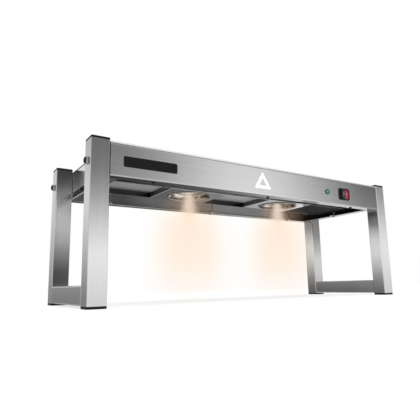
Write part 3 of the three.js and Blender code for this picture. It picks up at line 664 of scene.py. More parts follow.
def sweep(points, radius, sides=16, closed=False):
    """A round tube along points, with a steady frame."""
    pts = [Vector(p) for p in points]
    loops = []
    up = Vector((0, 0, 1))
    t0 = (pts[1] - pts[0]).normalized()
    if abs(t0.dot(up)) > 0.95:
        up = Vector((0, 1, 0))
    nrm = (up - t0 * up.dot(t0)).normalized()
    for i, p in enumerate(pts):
        t = (pts[min(i + 1, len(pts) - 1)] - pts[max(i - 1, 0)]).normalized()
        nrm = (nrm - t * nrm.dot(t)).normalized()
        bi = t.cross(nrm)
        loops.append([p + (nrm * cos(2 * pi * k / sides) + bi * sin(2 * pi * k / sides)) * radius for k in range(sides)])
    return loft(loops)


def merge(bms):
    """Joins several bmeshes into the first."""
    first = bms[0]
    for bm in bms[1:]:
        me = bpy.data.meshes.new("tmp")
        bm.to_mesh(me)
        bm.free()
        first.from_mesh(me)
        bpy.data.meshes.remove(me)
    return first


def stands_for(ob, node, body=ROOT):
    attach(ob, body)
    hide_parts(node)
    return ob


def refine(node, mat, bevel=0.25, segments=2, subdiv=0):
    """Keeps a CAD node and gives it eased edges and a material."""
    ob = NODES[node]
    ob.data.materials.clear()
    ob.data.materials.append(MAT[mat])
    w = ob.modifiers.new("weld", "WELD")
    w.merge_threshold = 1e-6
    if subdiv:
        s = ob.modifiers.new("subdivision", "SUBSURF")
        s.levels = s.render_levels = subdiv
    elif bevel:
        d = ob.modifiers.new("planar", "DECIMATE")
        d.decimate_type = "DISSOLVE"
        d.angle_limit = radians(1.0)
        b = ob.modifiers.new("edges", "BEVEL")
        b.width, b.segments, b.limit_method, b.angle_limit = bevel * MM, segments, "ANGLE", radians(40)
        wn = ob.modifiers.new("weighted", "WEIGHTED_NORMAL")
        wn.weight, wn.keep_sharp = 90, False
    for p in ob.data.polygons:
        p.use_smooth = True
    return ob


# ------------------------------------------------------------------ side frames
TUBE_R, WALL = 3.0, 1.5
for side, sx in (("left", -1), ("right", 1)):
    for end, sy in (("front", -1), ("rear", 1)):
        tag = f"{side}_{end}"
        lo, hi = mmbox(f"{tag}_post")
        cx, cy = (lo[0] + hi[0]) / 2, (lo[1] + hi[1]) / 2
        half = (hi[0] - lo[0]) / 2
        bolt_lo, bolt_hi = mmbox(f"{tag}_frame_bolt")
        bz = (bolt_lo[2] + bolt_hi[2]) / 2

        # square tube with rounded corners, open at both ends
        inner = half - WALL
        loops = [rect_loop(half - 0.25, half - 0.25, TUBE_R - 0.2, lo[2], 8, cx, cy), rect_loop(half, half, TUBE_R, lo[2] + 0.25, 8, cx, cy),
                 rect_loop(half, half, TUBE_R, hi[2] - 0.25, 8, cx, cy), rect_loop(half - 0.25, half - 0.25, TUBE_R - 0.2, hi[2], 8, cx, cy),
                 rect_loop(inner, inner, TUBE_R - WALL, hi[2], 8, cx, cy), rect_loop(inner, inner, TUBE_R - WALL, lo[2], 8, cx, cy)]
        post = obj_from_bm(f"{tag}_post_tube", loft(loops, ring=True), f"post_{tag}")
        solid(post, [cyl_bm("x", 4.5, cx - half - 2, cx + half + 2, cy, bz, 32)])
        stands_for(post, f"{tag}_post")

        # end cap: crown with an eased rim, skirt and hollow plug
        top = mmbox(f"{tag}_end_cap")[1][2]
        z = top - 4.5
        crown = [(half - 2.6, TUBE_R - 1.2, top), (half - 1.5, TUBE_R - 0.7, top - 0.12), (half - 0.7, TUBE_R - 0.3, top - 0.5),
                 (half - 0.2, TUBE_R, top - 1.1), (half, TUBE_R, top - 1.9), (half, TUBE_R, z + 0.35), (half - 0.3, TUBE_R - 0.2, z),
                 (half - WALL - 0.4, 1.3, z), (half - WALL - 0.4, 1.3, z - 12.6), (half - WALL - 1.4, 1.0, z - 14),
                 (half - WALL - 2.6, 1.0, z - 14), (half - WALL - 2.6, 1.0, z - 0.6)]
        cap = obj_from_bm(f"{tag}_cap", loft([rect_loop(h, h, r, zz, 7, cx, cy) for h, r, zz in crown]), "plastic")
        stands_for(cap, f"{tag}_end_cap")

        # foot: sole with an eased lower edge and a hollow plug
        bot = mmbox(f"{tag}_foot")[0][2]
        z = bot + 4.5
        sole = [(half - 5.0, TUBE_R - 1.0, bot + 0.7), (half - 4.4, TUBE_R - 1.0, bot), (half - 1.6, TUBE_R - 0.8, bot), (half - 0.7, TUBE_R - 0.3, bot + 0.4),
                (half - 0.2, TUBE_R, bot + 1.1), (half, TUBE_R, bot + 1.9), (half, TUBE_R, z - 0.35), (half - 0.3, TUBE_R - 0.2, z),
                (half - WALL - 0.4, 1.3, z), (half - WALL - 0.4, 1.3, z + 14.6), (half - WALL - 1.4, 1.0, z + 16),
                (half - WALL - 2.6, 1.0, z + 16), (half - WALL - 2.6, 1.0, z + 0.6)]
        foot = obj_from_bm(f"{tag}_sole", loft([rect_loop(h, h, r, zz, 7, cx, cy) for h, r, zz in sole]), "plastic")
        stands_for(foot, f"{tag}_foot")

        # frame bolt: steel flanged head with a black domed end and a hexagon socket
        prof = [(0, -54), (3.4, -54), (4.0, -53.3), (4.0, 0), (7.6, 0), (8.0, 0.4), (8.0, 1.1), (7.7, 1.45), (7.1, 1.6), (7.05, 4.0), (6.7, 5.0), (5.9, 5.9),
                (4.9, 6.5), (3.9, 6.85), (3.4, 7.0)]
        n = 48
        bm = bmesh.new()
        rows = []
        for r, zz in prof:
            rows.append([bm.verts.new((0, 0, zz))] if r < 1e-6 else [bm.verts.new((r * cos(2 * pi * i / n), r * sin(2 * pi * i / n), zz)) for i in range(n)])
        # hexagon socket: the last ring turns into a hexagon and drops in
        def hexa(rad, zz):
            ring = []
            for i in range(n):
                a = 2 * pi * i / n
                k = (a % (pi / 3)) - pi / 6
                rr = rad * cos(pi / 6) / cos(k)
                ring.append(bm.verts.new((rr * cos(a), rr * sin(a), zz)))
            return ring
        rows += [hexa(3.2, 6.95), hexa(3.0, 6.6), hexa(2.95, 3.4), [bm.verts.new((0, 0, 3.2))]]
        for a, b in zip(rows, rows[1:]):
            for i in range(n):
                j = (i + 1) % n
                if len(a) == 1:
                    bm.faces.new((a[0], b[j], b[i]))
                elif len(b) == 1:
                    bm.faces.new((a[i], a[j], b[0]))
                else:
                    bm.faces.new((a[i], a[j], b[j], b[i]))
        turn = Matrix.Rotation(pi / 2, 4, "Y") if sx > 0 else Matrix.Rotation(-pi / 2, 4, "Y")
        head_x = sx * ((bolt_hi[0] if sx > 0 else -bolt_lo[0]) - 7.0)
        place(bm, Matrix.Translation((head_x, cy, bz)) @ turn)
        bolt = obj_from_bm(f"{tag}_bolt", bm, "fastener")
        bolt.data.materials.append(MAT["bolt_steel"])
        for p in bolt.data.polygons:
            if abs(p.center.x / MM) < abs(head_x) + 4.3:
                p.material_index = 1
        stands_for(bolt, f"{tag}_frame_bolt")
        refine(f"{tag}_nut", "bolt_steel", 0.5, 3)

    # stretcher between the posts
    lo, hi = mmbox(f"{side}_stretcher")
    cx, cz = (lo[0] + hi[0]) / 2, (lo[2] + hi[2]) / 2
    half = (hi[0] - lo[0]) / 2
    def sloop(h, r, y):
        return [Vector((cx + p.x, y, cz + p.y)) for p in rect_loop(h, h, r, 0, 8)]
    inner = half - WALL
    bar = obj_from_bm(f"{side}_stretcher_tube", loft([sloop(half - 0.2, TUBE_R - 0.2, lo[1]), sloop(half, TUBE_R, lo[1] + 0.2), sloop(half, TUBE_R, hi[1] - 0.2),
                                                      sloop(half - 0.2, TUBE_R - 0.2, hi[1]), sloop(inner, TUBE_R - WALL, hi[1]), sloop(inner, TUBE_R - WALL, lo[1])], ring=True), f"stretcher_{side}")
    stands_for(bar, f"{side}_stretcher")

# ------------------------------------------------------------------ hood shell
T = 1.2
HX = mmbox("hood_front_panel")[1][0]
Z0, ZP = mmbox("hood_front_panel")[0][2], mmbox("hood_front_panel")[1][2]
LIP, FLANGE = 23.0, 20.0


def channel(name, sy, mat):
    y0 = 150.0
    prof = [(y0, Z0, 2.4), (y0 - LIP, Z0, 0.5), (y0 - LIP, Z0 + T, 0.5), (y0 - T, Z0 + T, 1.2),
            (y0 - T, ZP - T, 1.2), (y0 - FLANGE, ZP - T, 0.4), (y0 - FLANGE, ZP, 0.4), (y0, ZP, 2.2)]
    poly = [(sy * y, z) for y, z in fillet(prof, 6)]
    bm = extrude(poly, -HX, HX, "x")
    # the outer ends are dressed smooth
    bevel_where(bm, 0.9, 3, lambda m, d: abs(abs(m.x) - HX) < 0.01 and abs(m.y) > y0 - 2.6, 40)
    return obj_from_bm(name, bm, mat)


screws = {"front": (-1, []), "rear": (1, [])}
for end, (sy, xs) in screws.items():
    for i in (1, 2, 3):
        lo, hi = mmbox(f"{end}_lip_screw_{i}")
        xs.append(((lo[0] + hi[0]) / 2, (lo[1] + hi[1]) / 2))

sw_lo, sw_hi = mmbox("power_switch_body")
SWX, SWZ = (sw_lo[0] + sw_hi[0]) / 2, (sw_lo[2] + sw_hi[2]) / 2
pl_lo, pl_hi = mmbox("pilot_light_bezel")
PX, PZ = (pl_lo[0] + pl_hi[0]) / 2, (pl_lo[2] + pl_hi[2]) / 2
gl_lo, gl_hi = mmbox("cable_inlet_bush")
GX, GZ = (gl_lo[0] + gl_hi[0]) / 2, (gl_lo[2] + gl_hi[2]) / 2

front = channel("front_panel", -1, "front")
solid(front, [box_bm(SWX - 20, SWX + 20, -153, -146, SWZ - 15, SWZ + 15, 1.5, "y"), cyl_bm("y", 6.0, -153, -146, PX, PZ, 48)]
      + [cyl_bm("z", 2.3, Z0 - 2, Z0 + 3, x, y, 24) for x, y in screws["front"][1]])
inside(front, "mill", lambda c, nv: nv.y > 0.3 and c.y < -140)
stands_for(front, "hood_front_panel")
rear = channel("rear_panel", 1, "shell")
solid(rear, [cyl_bm("y", 8.4, 146, 153, GX, GZ, 48)] + [cyl_bm("z", 2.3, Z0 - 2, Z0 + 3, x, y, 24) for x, y in screws["rear"][1]])
inside(rear, "mill", lambda c, nv: nv.y < -0.3 and c.y > 140)
stands_for(rear, "hood_rear_panel")

for side, sx in (("left", -1), ("right", 1)):
    lo, hi = mmbox(f"hood_{side}_end_panel")
    ey, top = hi[1], hi[2]
    lipy, flangey = 126.6, 129.6
    lx = mmbox(f"{side}_lip_screw")
    lsx = (lx[0][0] + lx[1][0]) / 2
    # wall with its top flange, bottom lip between the corner lips, and the left one's low slot
    wall = [(HX - T, Z0 + T + 0.3, 0), (HX, Z0 + T + 0.3, 0), (HX, ZP - T - 0.3, 0), (HX - T, ZP - T - 0.3, 0)]
    bm = extrude([(sx * u, v) for u, v, _ in wall], -ey, ey, "y")
    end = obj_from_bm(f"{side}_end_panel", bm, "shell_y")
    mid = [(HX, Z0, 2.0), (HX - LIP, Z0, 0.5), (HX - LIP, Z0 + T, 0.5), (HX - T, Z0 + T, 1.0),
           (HX - T, ZP - T, 1.0), (HX - FLANGE, ZP - T, 0.4), (HX - FLANGE, ZP, 0.4), (HX, ZP, 2.0)]
    core = extrude([(sx * u, v) for u, v in fillet(mid, 6)], -lipy, lipy, "y")
    solid(end, [core], "UNION")
    cuts = [cyl_bm("z", 2.3, Z0 - 2, Z0 + 3, lsx, 0, 24)]
    if sx < 0:
        cuts.append(box_bm(-HX - 2, -HX + 4, -105, 105, Z0 + T + 1, Z0 + 16, 2.5, "x"))
    for sy in (-1, 1):
        b_lo, b_hi = mmbox(f"{side}_{'front' if sy < 0 else 'rear'}_frame_bolt")
        cuts.append(cyl_bm("x", 4.5, min(sx * (HX - 3), sx * (HX + 3)), max(sx * (HX - 3), sx * (HX + 3)), (b_lo[1] + b_hi[1]) / 2, (b_lo[2] + b_hi[2]) / 2, 32))
    solid(end, cuts)
    # inner faces: the mill finish on the left; on the right, black painted shade
    inside(end, "mill" if sx < 0 else "black_and_painted_shade", lambda c, nv: nv.x * sx < -0.3 and abs(c.x) > HX - 3)
    stands_for(end, f"hood_{side}_end_panel")

# top cover: a shallow lid with a rounded turned-down edge
lo, hi = mmbox("hood_top_cover")
hx, hy, z0, z1 = hi[0], hi[1], lo[2], hi[2]
FOLD = 3.8
lid = [(hx - FOLD * (1 - sin(radians(a))), hy - FOLD * (1 - sin(radians(a))), 1.8 - 0.6 * a / 90, z1 - FOLD * (1 - cos(radians(a)))) for a in range(0, 91, 10)]
lid += [(hx, hy, 1.2, z0 + 0.3), (hx - 0.3, hy - 0.3, 1.0, z0), (hx - T, hy - T, 0.5, z0), (hx - T, hy - T, 0.5, z1 - T - 0.8), (hx - T - 0.8, hy - T - 0.8, 0.5, z1 - T)]
cover = obj_from_bm("top_cover", loft([rect_loop(a, b, r, zz, 5) for a, b, r, zz in lid]), "lid")
stands_for(cover, "hood_top_cover")


# ------------------------------------------------------------------ lamp tray
def pan_mesh(name, x0, x1, hy, z0, z1, mat):
    cx, hx = (x0 + x1) / 2, (x1 - x0) / 2
    rows = [(hx - 2.2, hy - 2.2, 1.0, z0), (hx - 1.2, hy - 1.2, 1.0, z0 + 0.16), (hx - 0.5, hy - 0.5, 1.1, z0 + 0.62), (hx - 0.1, hy - 0.1, 1.2, z0 + 1.3), (hx, hy, 1.2, z0 + 2.0),
            (hx, hy, 1.2, z1 - 0.2), (hx - 0.2, hy - 0.2, 1.1, z1), (hx - T, hy - T, 0.4, z1), (hx - T, hy - T, 0.4, z0 + T + 0.9), (hx - T - 0.9, hy - T - 0.9, 0.4, z0 + T)]
    return obj_from_bm(name, loft([rect_loop(a, b, r, zz, 4, cx, 0) for a, b, r, zz in rows]), mat)


PAN_Y = 59.6
RX = 410.1


def tab_blocks(sx, from_z):
    """The stepped tab from a panel down to the end lip."""
    def bx(a, b, y0, y1, z0, z1):
        a, b = (a, b) if sx > 0 else (-b, -a)
        return box_bm(a, b, y0, y1, z0, z1, 0.2, "y")
    zf = Z0 + T + 0.3
    return [bx(396, 397.2, -2.5, 2.5, zf, from_z + 0.6), bx(382, 397.2, -6, 6, zf, zf + T)]


lscrew = mmbox("left_lip_screw")
ESX = -(lscrew[0][0] + lscrew[1][0]) / 2
BLANK = mmbox("centre_blank_panel")
left_blank = pan_mesh("left_tray_panel", -RX, -230.3, PAN_Y, BLANK[0][2], BLANK[1][2], "tray")
solid(left_blank, tab_blocks(-1, BLANK[0][2]), "UNION")
solid(left_blank, [cyl_bm("z", 2.3, Z0, Z0 + 6, -ESX, 0, 24)])
stands_for(left_blank, "left_blank_panel")
centre = pan_mesh("centre_tray_panel", BLANK[0][0], BLANK[1][0], PAN_Y, BLANK[0][2], BLANK[1][2], "tray")
stands_for(centre, "centre_blank_panel")
PL = mmbox("left_lamp_plate")
bay = pan_mesh("control_bay_tray", 230.3, RX, PAN_Y, PL[0][2], PL[0][2] + 24, "black_and_painted_shade")
solid(bay, tab_blocks(1, PL[0][2]), "UNION")
bay.data.materials.append(MAT["tray"])
for p in bay.data.polygons:
    if p.center.x / MM > 381.5 and p.center.z / MM < PL[0][2] - 0.4:
        p.material_index = 1
solid(bay, [cyl_bm("z", 2.3, Z0, Z0 + 6, ESX, 0, 24)])
stands_for(bay, "control_bay_cover")

for side in ("left", "right"):
    lo, hi = mmbox(f"{side}_lamp_plate")
    cx = (lo[0] + hi[0]) / 2
    plate = pan_mesh(f"{side}_lamp_tray", lo[0], hi[0], hi[1], lo[2], hi[2], "plate")
    solid(plate, [cyl_bm("z", 52.0, lo[2] - 5, lo[2] + 5, cx, 0, 96)])
    # the lamp plate's end faces get painted shade: the dark copy of the mill finish
    inside(plate, "mill_painted_shade", lambda c, nv: abs(nv.x) > 0.8 and abs(c.x - cx) > 75)
    stands_for(plate, f"{side}_lamp_plate")

for end in ("front", "rear"):
    refine(f"tray_{end}_rail", f"rail_{end}", 0.25, 2)

# ------------------------------------------------------------------ lamps
lamp_axis = mmbox("left_lamp_tube")
LZ = (lamp_axis[0][2] + lamp_axis[1][2]) / 2
for side, sx in (("left", -1), ("right", 1)):
    cx = sx * 150.0

    # spun reflector: rolled rim, cup with turned ribs, side holes for the lamp
    ins = fillet([(50.4, 261.2, 0), (49.6, 268, 4), (46.4, 281, 8), (38.5, 294, 8), (26.5, 302, 10), (10, 304.7, 10), (0, 305, 0)], 6, closed=False)
    # ribs in the upper half of the cup
    dense = []
    for (r0, z0_), (r1, z1_) in zip(ins, ins[1:]):
        k = max(1, int(math.hypot(r1 - r0, z1_ - z0_) / 0.9))
        dense += [(r0 + (r1 - r0) * i / k, z0_ + (z1_ - z0_) * i / k) for i in range(k)]
    dense.append(ins[-1])
    ribbed, s = [], 0.0
    for i, (r, zz) in enumerate(dense):
        if i:
            s += math.hypot(r - dense[i - 1][0], zz - dense[i - 1][1])
        w = 0.0
        if 12 < s < 46:
            w = 1.1 * (0.5 - 0.5 * cos(2 * pi * (s - 12) / 6.8)) * min(1, (s - 12) / 3, (46 - s) / 3)
        a = dense[max(0, i - 1)]
        b = dense[min(len(dense) - 1, i + 1)]
        t = Vector((b[0] - a[0], b[1] - a[1])).normalized()
        nx, nz = -t.y, t.x   # towards the cup's inside or outside
        if nx > 0:
            nx, nz = -nx, -nz
        ribbed.append((max(0.0, r + nx * w), zz + nz * w))
    outs = [(0, 306.2), (10, 305.9), (27, 303.2), (33.8, 299.6), (39.3, 294.9), (43.8, 288.6), (47.4, 281.4), (49.7, 275), (50.8, 268.2), (51.3, 262.3), (51.6, 261.75), (52.2, 261.7),
            (54.9, 261.7), (55.6, 261.35), (56.0, 260.6), (55.8, 259.9), (55.1, 259.45), (54.2, 259.4), (53.2, 259.7), (52.2, 260.1), (51.2, 260.5)]
    # order: start on axis (outside top), down the outside to the rim, up the inside to the axis
    prof = outs + ribbed
    cup = obj_from_bm(f"{side}_reflector_cup", place(lathe(prof, 96), Matrix.Translation((cx, 0, 0))), "spun", 50)
    solid(cup, [cyl_bm("x", 7.6, cx - 60, cx + 60, 0, LZ, 40)])
    stands_for(cup, f"{side}_reflector")

    # tubular lamp: quartz tube, ceramic ends, contact nibs, coiled filament
    def along(bm):
        return place(bm, Matrix.Translation((cx, 0, LZ)) @ Matrix.Rotation(pi / 2, 4, "Y"))
    tube = [(0, -42.4), (2.0, -42.3), (3.4, -41.6), (4.5, -40.0), (5.0, -38.0), (5.0, 38.0), (4.5, 40.0), (3.4, 41.6), (2.0, 42.3), (0, 42.4)]
    wall = along(lathe(tube, 40))
    inner = [(0, -40.6), (1.6, -40.5), (2.8, -39.9), (3.7, -38.6), (4.1, -36.8), (4.1, 36.8), (3.7, 38.6), (2.8, 39.9), (1.6, 40.5), (0, 40.6)]
    hollow = along(lathe(inner, 40))
    glass = obj_from_bm(f"{side}_lamp_glass", wall, "quartz", 60, False)
    solid(glass, [hollow])
    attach(glass, ROOT)
    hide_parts(f"{side}_lamp_tube")
    ends = []
    for e in (-1, 1):
        prof_e = [(0, 42.6), (5.0, 42.6), (5.6, 43.1), (5.8, 43.8), (5.8, 54.6), (5.5, 55.2), (5.0, 55.4), (2.7, 55.4), (2.6, 56.6), (2.4, 58.0), (1.8, 58.5), (0, 58.6)]
        ends.append(along(lathe([(r, e * zz) for r, zz in prof_e], 40)))
    caps = obj_from_bm(f"{side}_lamp_ends", merge(ends), "ceramic")
    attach(caps, ROOT)
    coil = []
    turns, per = 34, 10
    for i in range(turns * per + 1):
        t = i / (turns * per)
        a = 2 * pi * turns * t
        coil.append((cx - 33 + 66 * t, 1.25 * cos(a), LZ + 1.25 * sin(a)))
    wire = sweep([(cx - 40, 0, LZ), (cx - 36, 0, LZ)] + coil + [(cx + 36, 0, LZ), (cx + 40, 0, LZ)], 0.42, 6)
    fil = obj_from_bm(f"{side}_lamp_filament", wire, "filament", 80, False)
    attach(fil, ROOT)
    for end in ("inner", "outer"):
        refine(f"{side}_lampholder_{end}", "ceramic", 0.8, 3)

# ------------------------------------------------------------------ controls
# switch body: bezel with strongly rounded corners and a raised lip around the rocker's well
hw, hh = (sw_hi[0] - sw_lo[0]) / 2, (sw_hi[2] - sw_lo[2]) / 2
WW, WH = 18.0, 13.3


def yloop(a, b, r, y, n=8):
    return [Vector((SWX + p.x, y, SWZ + p.y)) for p in rect_loop(a, b, r, 0, n)]


rows = [yloop(WW, WH, 0.6, -137.0), yloop(WW, WH, 0.6, -151.2), yloop(WW + 0.5, WH + 0.5, 1.0, -152.1), yloop(WW + 1.3, WH + 1.3, 1.8, -152.4),
        yloop(hw - 1.6, hh - 1.5, 5.2, -152.3), yloop(hw - 0.7, hh - 0.7, 5.8, -151.9), yloop(hw - 0.15, hh - 0.15, 6.2, -151.2), yloop(hw, hh, 6.3, -150.5), yloop(hw - 0.1, hh - 0.1, 6.3, -150.3),
        yloop(19.6, 14.6, 0.8, -150.3), yloop(19.6, 14.6, 0.8, -127.0), yloop(18.8, 13.8, 0.8, -126.0)]
body = obj_from_bm("switch_body", loft(rows), "switch")
blades = []
for dx in (-9, 9):
    for dz in (-6, 6):
        blades.append(box_bm(SWX + dx - 0.5, SWX + dx + 0.5, -126.5, -117, SWZ + dz - 3, SWZ + dz + 3, 0.2, "y"))
solid(body, blades, "UNION")
solid(body, [cyl_bm("z", 1.8, SWZ - 14.1, SWZ + 14.1, SWX, -146.0, 32)])
body.data.materials.append(MAT["brass"])
for p in body.data.polygons:
    if p.center.y / MM > -125.9:
        p.material_index = 1
stands_for(body, "power_switch_body")

# rocker: dished face, red half and black half, soft edges; flanks are arcs about the pivot
R_KEY = 17.5
section = []
for i in range(13):
    a = radians(-17 + 45 * i / 12)
    section.append((R_KEY * cos(a), R_KEY * sin(a)))
x_end, v_end = section[-1]
for i in range(1, 24):
    u = x_end - 2 * x_end * i / 24
    v = 6.2 + (v_end - 6.2) * (abs(u) / x_end) ** 1.25
    section.append((u, v))
for i in range(12, -1, -1):
    a = radians(-17 + 45 * i / 12)
    section.append((-R_KEY * cos(a), R_KEY * sin(a)))


def key_at(z, inset):
    """The rocker's section at a height, its face and flanks drawn in near the ends."""
    out = []
    for u, v in section:
        k = 1 - inset / R_KEY
        out.append(Vector((u * k, v - inset * (1.0 if v > 2 else 0.0), z)))
    return out


key = loft([key_at(-12.9, 0.9), key_at(-12.65, 0.4), key_at(-12.2, 0.1), key_at(-11.6, 0.0), key_at(-4, 0), key_at(4, 0), key_at(11.6, 0.0), key_at(12.2, 0.1), key_at(12.65, 0.4), key_at(12.9, 0.9)])
stub = cyl_bm("z", 1.4, -13.8, 13.8, 0, 0, 24)
REST = radians(10.0)
to_rest = Matrix.Translation((SWX, -146.0, SWZ)) @ Matrix.Rotation(REST, 4, "Z") @ Matrix.Rotation(pi, 4, "X")
rocker = obj_from_bm("switch_rocker", place(key, to_rest), "rocker_red", 40)
solid(rocker, [place(stub, to_rest)], "UNION")
rocker.data.materials.append(MAT["rocker_black"])
back = to_rest.inverted()
for p in rocker.data.polygons:
    q = back @ (p.center / MM)
    if q.x < -0.01:
        p.material_index = 1
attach(rocker, ROCKER)
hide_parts("power_switch_rocker")


def face_v(u):
    return 6.2 + (v_end - 6.2) * (abs(u) / x_end) ** 1.25


# generic on and off marks, standing a hair proud of the two halves
def mark_strip(points, w):
    """A flat raised stroke on the rocker's face: points are (u, z) in the rocker's own frame."""
    bms = []
    for (u0, z0_), (u1, z1_) in zip(points, points[1:]):
        d = Vector((u1 - u0, z1_ - z0_)).normalized()
        nrm = Vector((-d.y, d.x)) * w / 2
        quad = [(u0 + nrm.x, z0_ + nrm.y), (u1 + nrm.x, z1_ + nrm.y), (u1 - nrm.x, z1_ - nrm.y), (u0 - nrm.x, z0_ - nrm.y)]
        bm = bmesh.new()
        low = [bm.verts.new((u, face_v(u) - 0.25, z)) for u, z in quad]
        high = [bm.verts.new((u, face_v(u) + 0.10, z)) for u, z in quad]
        bm.faces.new(low[::-1])
        bm.faces.new(high)
        for i in range(4):
            j = (i + 1) % 4
            bm.faces.new((low[i], low[j], high[j], high[i]))
        bms.append(bm)
    return merge(bms)


on_mark = mark_strip([(9.2, -4.6), (9.2, -1.5), (9.2, 1.5), (9.2, 4.6)], 1.3)
circle = [(-9.2 + 3.0 * cos(2 * pi * i / 28), 3.9 * sin(2 * pi * i / 28)) for i in range(29)]
off_mark = mark_strip(circle, 1.0)
marks = obj_from_bm("switch_marks", place(merge([on_mark, off_mark]), to_rest), "mark", 40, False)
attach(marks, ROCKER)

# pilot light: flanged bezel tube and a domed lens
bez = [(4.7, 0), (5.6, 0), (5.6, 18.7), (7.2, 18.7), (7.5, 19.0), (7.5, 19.9), (7.25, 20.4), (6.75, 20.7), (5.4, 20.7), (4.95, 20.5), (4.7, 20.0)]
lift = Matrix.Translation((PX, pl_hi[1], PZ)) @ Matrix.Rotation(pi / 2, 4, "X")
bezel = obj_from_bm("pilot_bezel", place(lathe(bez, 48), lift), "bezel")
stands_for(bezel, "pilot_light_bezel")
ln_lo, ln_hi = mmbox("pilot_light_lens")
MAT["lens"] = pilot_lens("pilot_green", PX * MM, PZ * MM)
lens_prof = [(0, 0), (4.1, 0), (4.3, 0.3), (4.3, 16.4), (4.2, 17.1), (3.9, 17.9), (3.3, 18.6), (2.4, 19.2), (1.2, 19.6), (0, 19.7)]
lens = obj_from_bm("pilot_lens", place(lathe(lens_prof, 48), Matrix.Translation((PX, ln_hi[1], PZ)) @ Matrix.Rotation(pi / 2, 4, "X")), "lens")
stands_for(lens, "pilot_light_lens")

# cable inlet bush: flanged and ribbed, with a clear bore
bp = [(4.2, 0.4), (4.6, 0), (7.6, 0), (8.0, 0.5), (8.0, 14.5), (10.6, 14.5), (11.0, 14.9), (11.0, 16.7), (10.6, 17.1), (9.6, 17.3), (9.4, 17.9), (9.0, 18.1), (8.9, 18.7), (8.4, 18.9),
      (8.3, 19.6), (7.8, 19.8), (7.6, 20.5), (7.1, 20.8), (6.8, 21.6), (6.3, 22.0), (4.7, 22.0), (4.3, 21.8), (4.2, 21.3)]
bush = obj_from_bm("inlet_bush", place(lathe(bp, 56), Matrix.Translation((GX, gl_lo[1], GZ)) @ Matrix.Rotation(-pi / 2, 4, "X")), "plastic")
stands_for(bush, "cable_inlet_bush")

# terminal block, wiring
refine("terminal_block", "ceramic", 0.6, 3)
tb_lo, tb_hi = mmbox("terminal_block")
tsc = []
for i in range(4):
    sc = [(0, 0), (2.2, 0), (2.3, 0.3), (2.3, 2.0), (1.9, 2.5), (0, 2.6)]
    tsc.append(place(lathe(sc, 24), Matrix.Translation((tb_lo[0] + 7 + 12 * i, 24, 272.2))))
tscrews = obj_from_bm("terminal_screws", merge(tsc), "brass")
solid(tscrews, [box_bm(tb_lo[0] + 7 + 12 * i - 2.0, tb_lo[0] + 7 + 12 * i + 2.0, 23.7, 24.3, 274.0, 276.0, 0.0, "z") for i in range(4)])
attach(tscrews, ROOT)
for node, mat in (("lamp_wiring", "sleeve_white"), ("supply_wiring", "sleeve_black"), ("control_wiring", "sleeve_red")):
    refine(node, mat, 0, 0, 0)
    for m in list(NODES[node].modifiers):
        if m.type != "WELD":
            NODES[node].modifiers.remove(m)

# ------------------------------------------------------------------ lip screws: pan heads with a cross recess
names = [f"{e}_lip_screw_{i}" for e in ("front", "rear") for i in (1, 2, 3)] + ["left_lip_screw", "right_lip_screw"]
for node in names:
    lo, hi = mmbox(node)
    x, y, z = (lo[0] + hi[0]) / 2, (lo[1] + hi[1]) / 2, lo[2]
    head = [(0, 0), (1.6, 0.08), (2.8, 0.38), (3.6, 1.0), (4.0, 1.8), (3.9, 2.2), (2.0, 2.2)]
    shank = []
    zz = 2.5
    while zz < 8.6:
        shank += [(2.0, zz), (1.7, zz + 0.3)]
        zz += 0.6
    shank += [(1.6, 8.9), (1.2, 9.2), (0, 9.2)]
    sc = obj_from_bm(f"{node}_head", place(lathe(head + shank, 32), Matrix.Translation((x, y, z))), "fastener")
    solid(sc, [box_bm(x - 2.2, x + 2.2, y - 0.4, y + 0.4, z - 1, z + 1.1, 0.0, "z"), box_bm(x - 0.4, x + 0.4, y - 2.2, y + 2.2, z - 1, z + 1.1, 0.0, "z")])
    stands_for(sc, node)

# ------------------------------------------------------------------ generic printed marks on the front panel
FY = -150.0


def print_solid(name, outline, holes, mat, lift=0.12):
    """A thin printed shape on the front face: outline and holes are (x, z) loops."""
    bm = bmesh.new()
    rings = []
    n = len(outline)
    def skin(pts, y):
        return [bm.verts.new((px, y, pz)) for px, pz in pts]
    of, ob_ = skin(outline, FY - lift), skin(outline, FY - 0.02)
    if holes:
        hf, hb = skin(holes, FY - lift), skin(holes, FY - 0.02)
        for i in range(n):
            j = (i + 1) % n
            bm.faces.new((of[i], of[j], hf[j], hf[i]))
            bm.faces.new((ob_[j], ob_[i], hb[i], hb[j]))
            bm.faces.new((of[j], of[i], ob_[i], ob_[j]))
            bm.faces.new((hf[i], hf[j], hb[j], hb[i]))
    else:
        bm.faces.new(of)
        bm.faces.new(ob_[::-1])
        for i in range(n):
            j = (i + 1) % n
            bm.faces.new((of[j], of[i], ob_[i], ob_[j]))
    ob = obj_from_bm(name, bm, mat, 40, False)
    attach(ob, ROOT)
    return ob


def rounded(points, r, n=5):
    return fillet([(x, z, r) for x, z in points], n)


TX, TZ0, TZ1, TW = -30.0, 264.5, 306.5, 52.0
tri_out = [(TX - TW / 2, TZ0), (TX + TW / 2, TZ0), (TX, TZ1)]
mid = Vector((TX, TZ0 + (TZ1 - TZ0) / 3))
tri_in = [tuple(mid + (Vector(p) - mid) * 0.46) for p in tri_out]
print_solid("front_print_triangle", rounded(tri_out, 1.8), rounded(tri_in, 1.0), "print_white")
print_solid("front_print_band", rounded([(-385, 270), (-265, 270), (-265, 292), (-385, 292)], 4.0, 6), None, "print_dark")


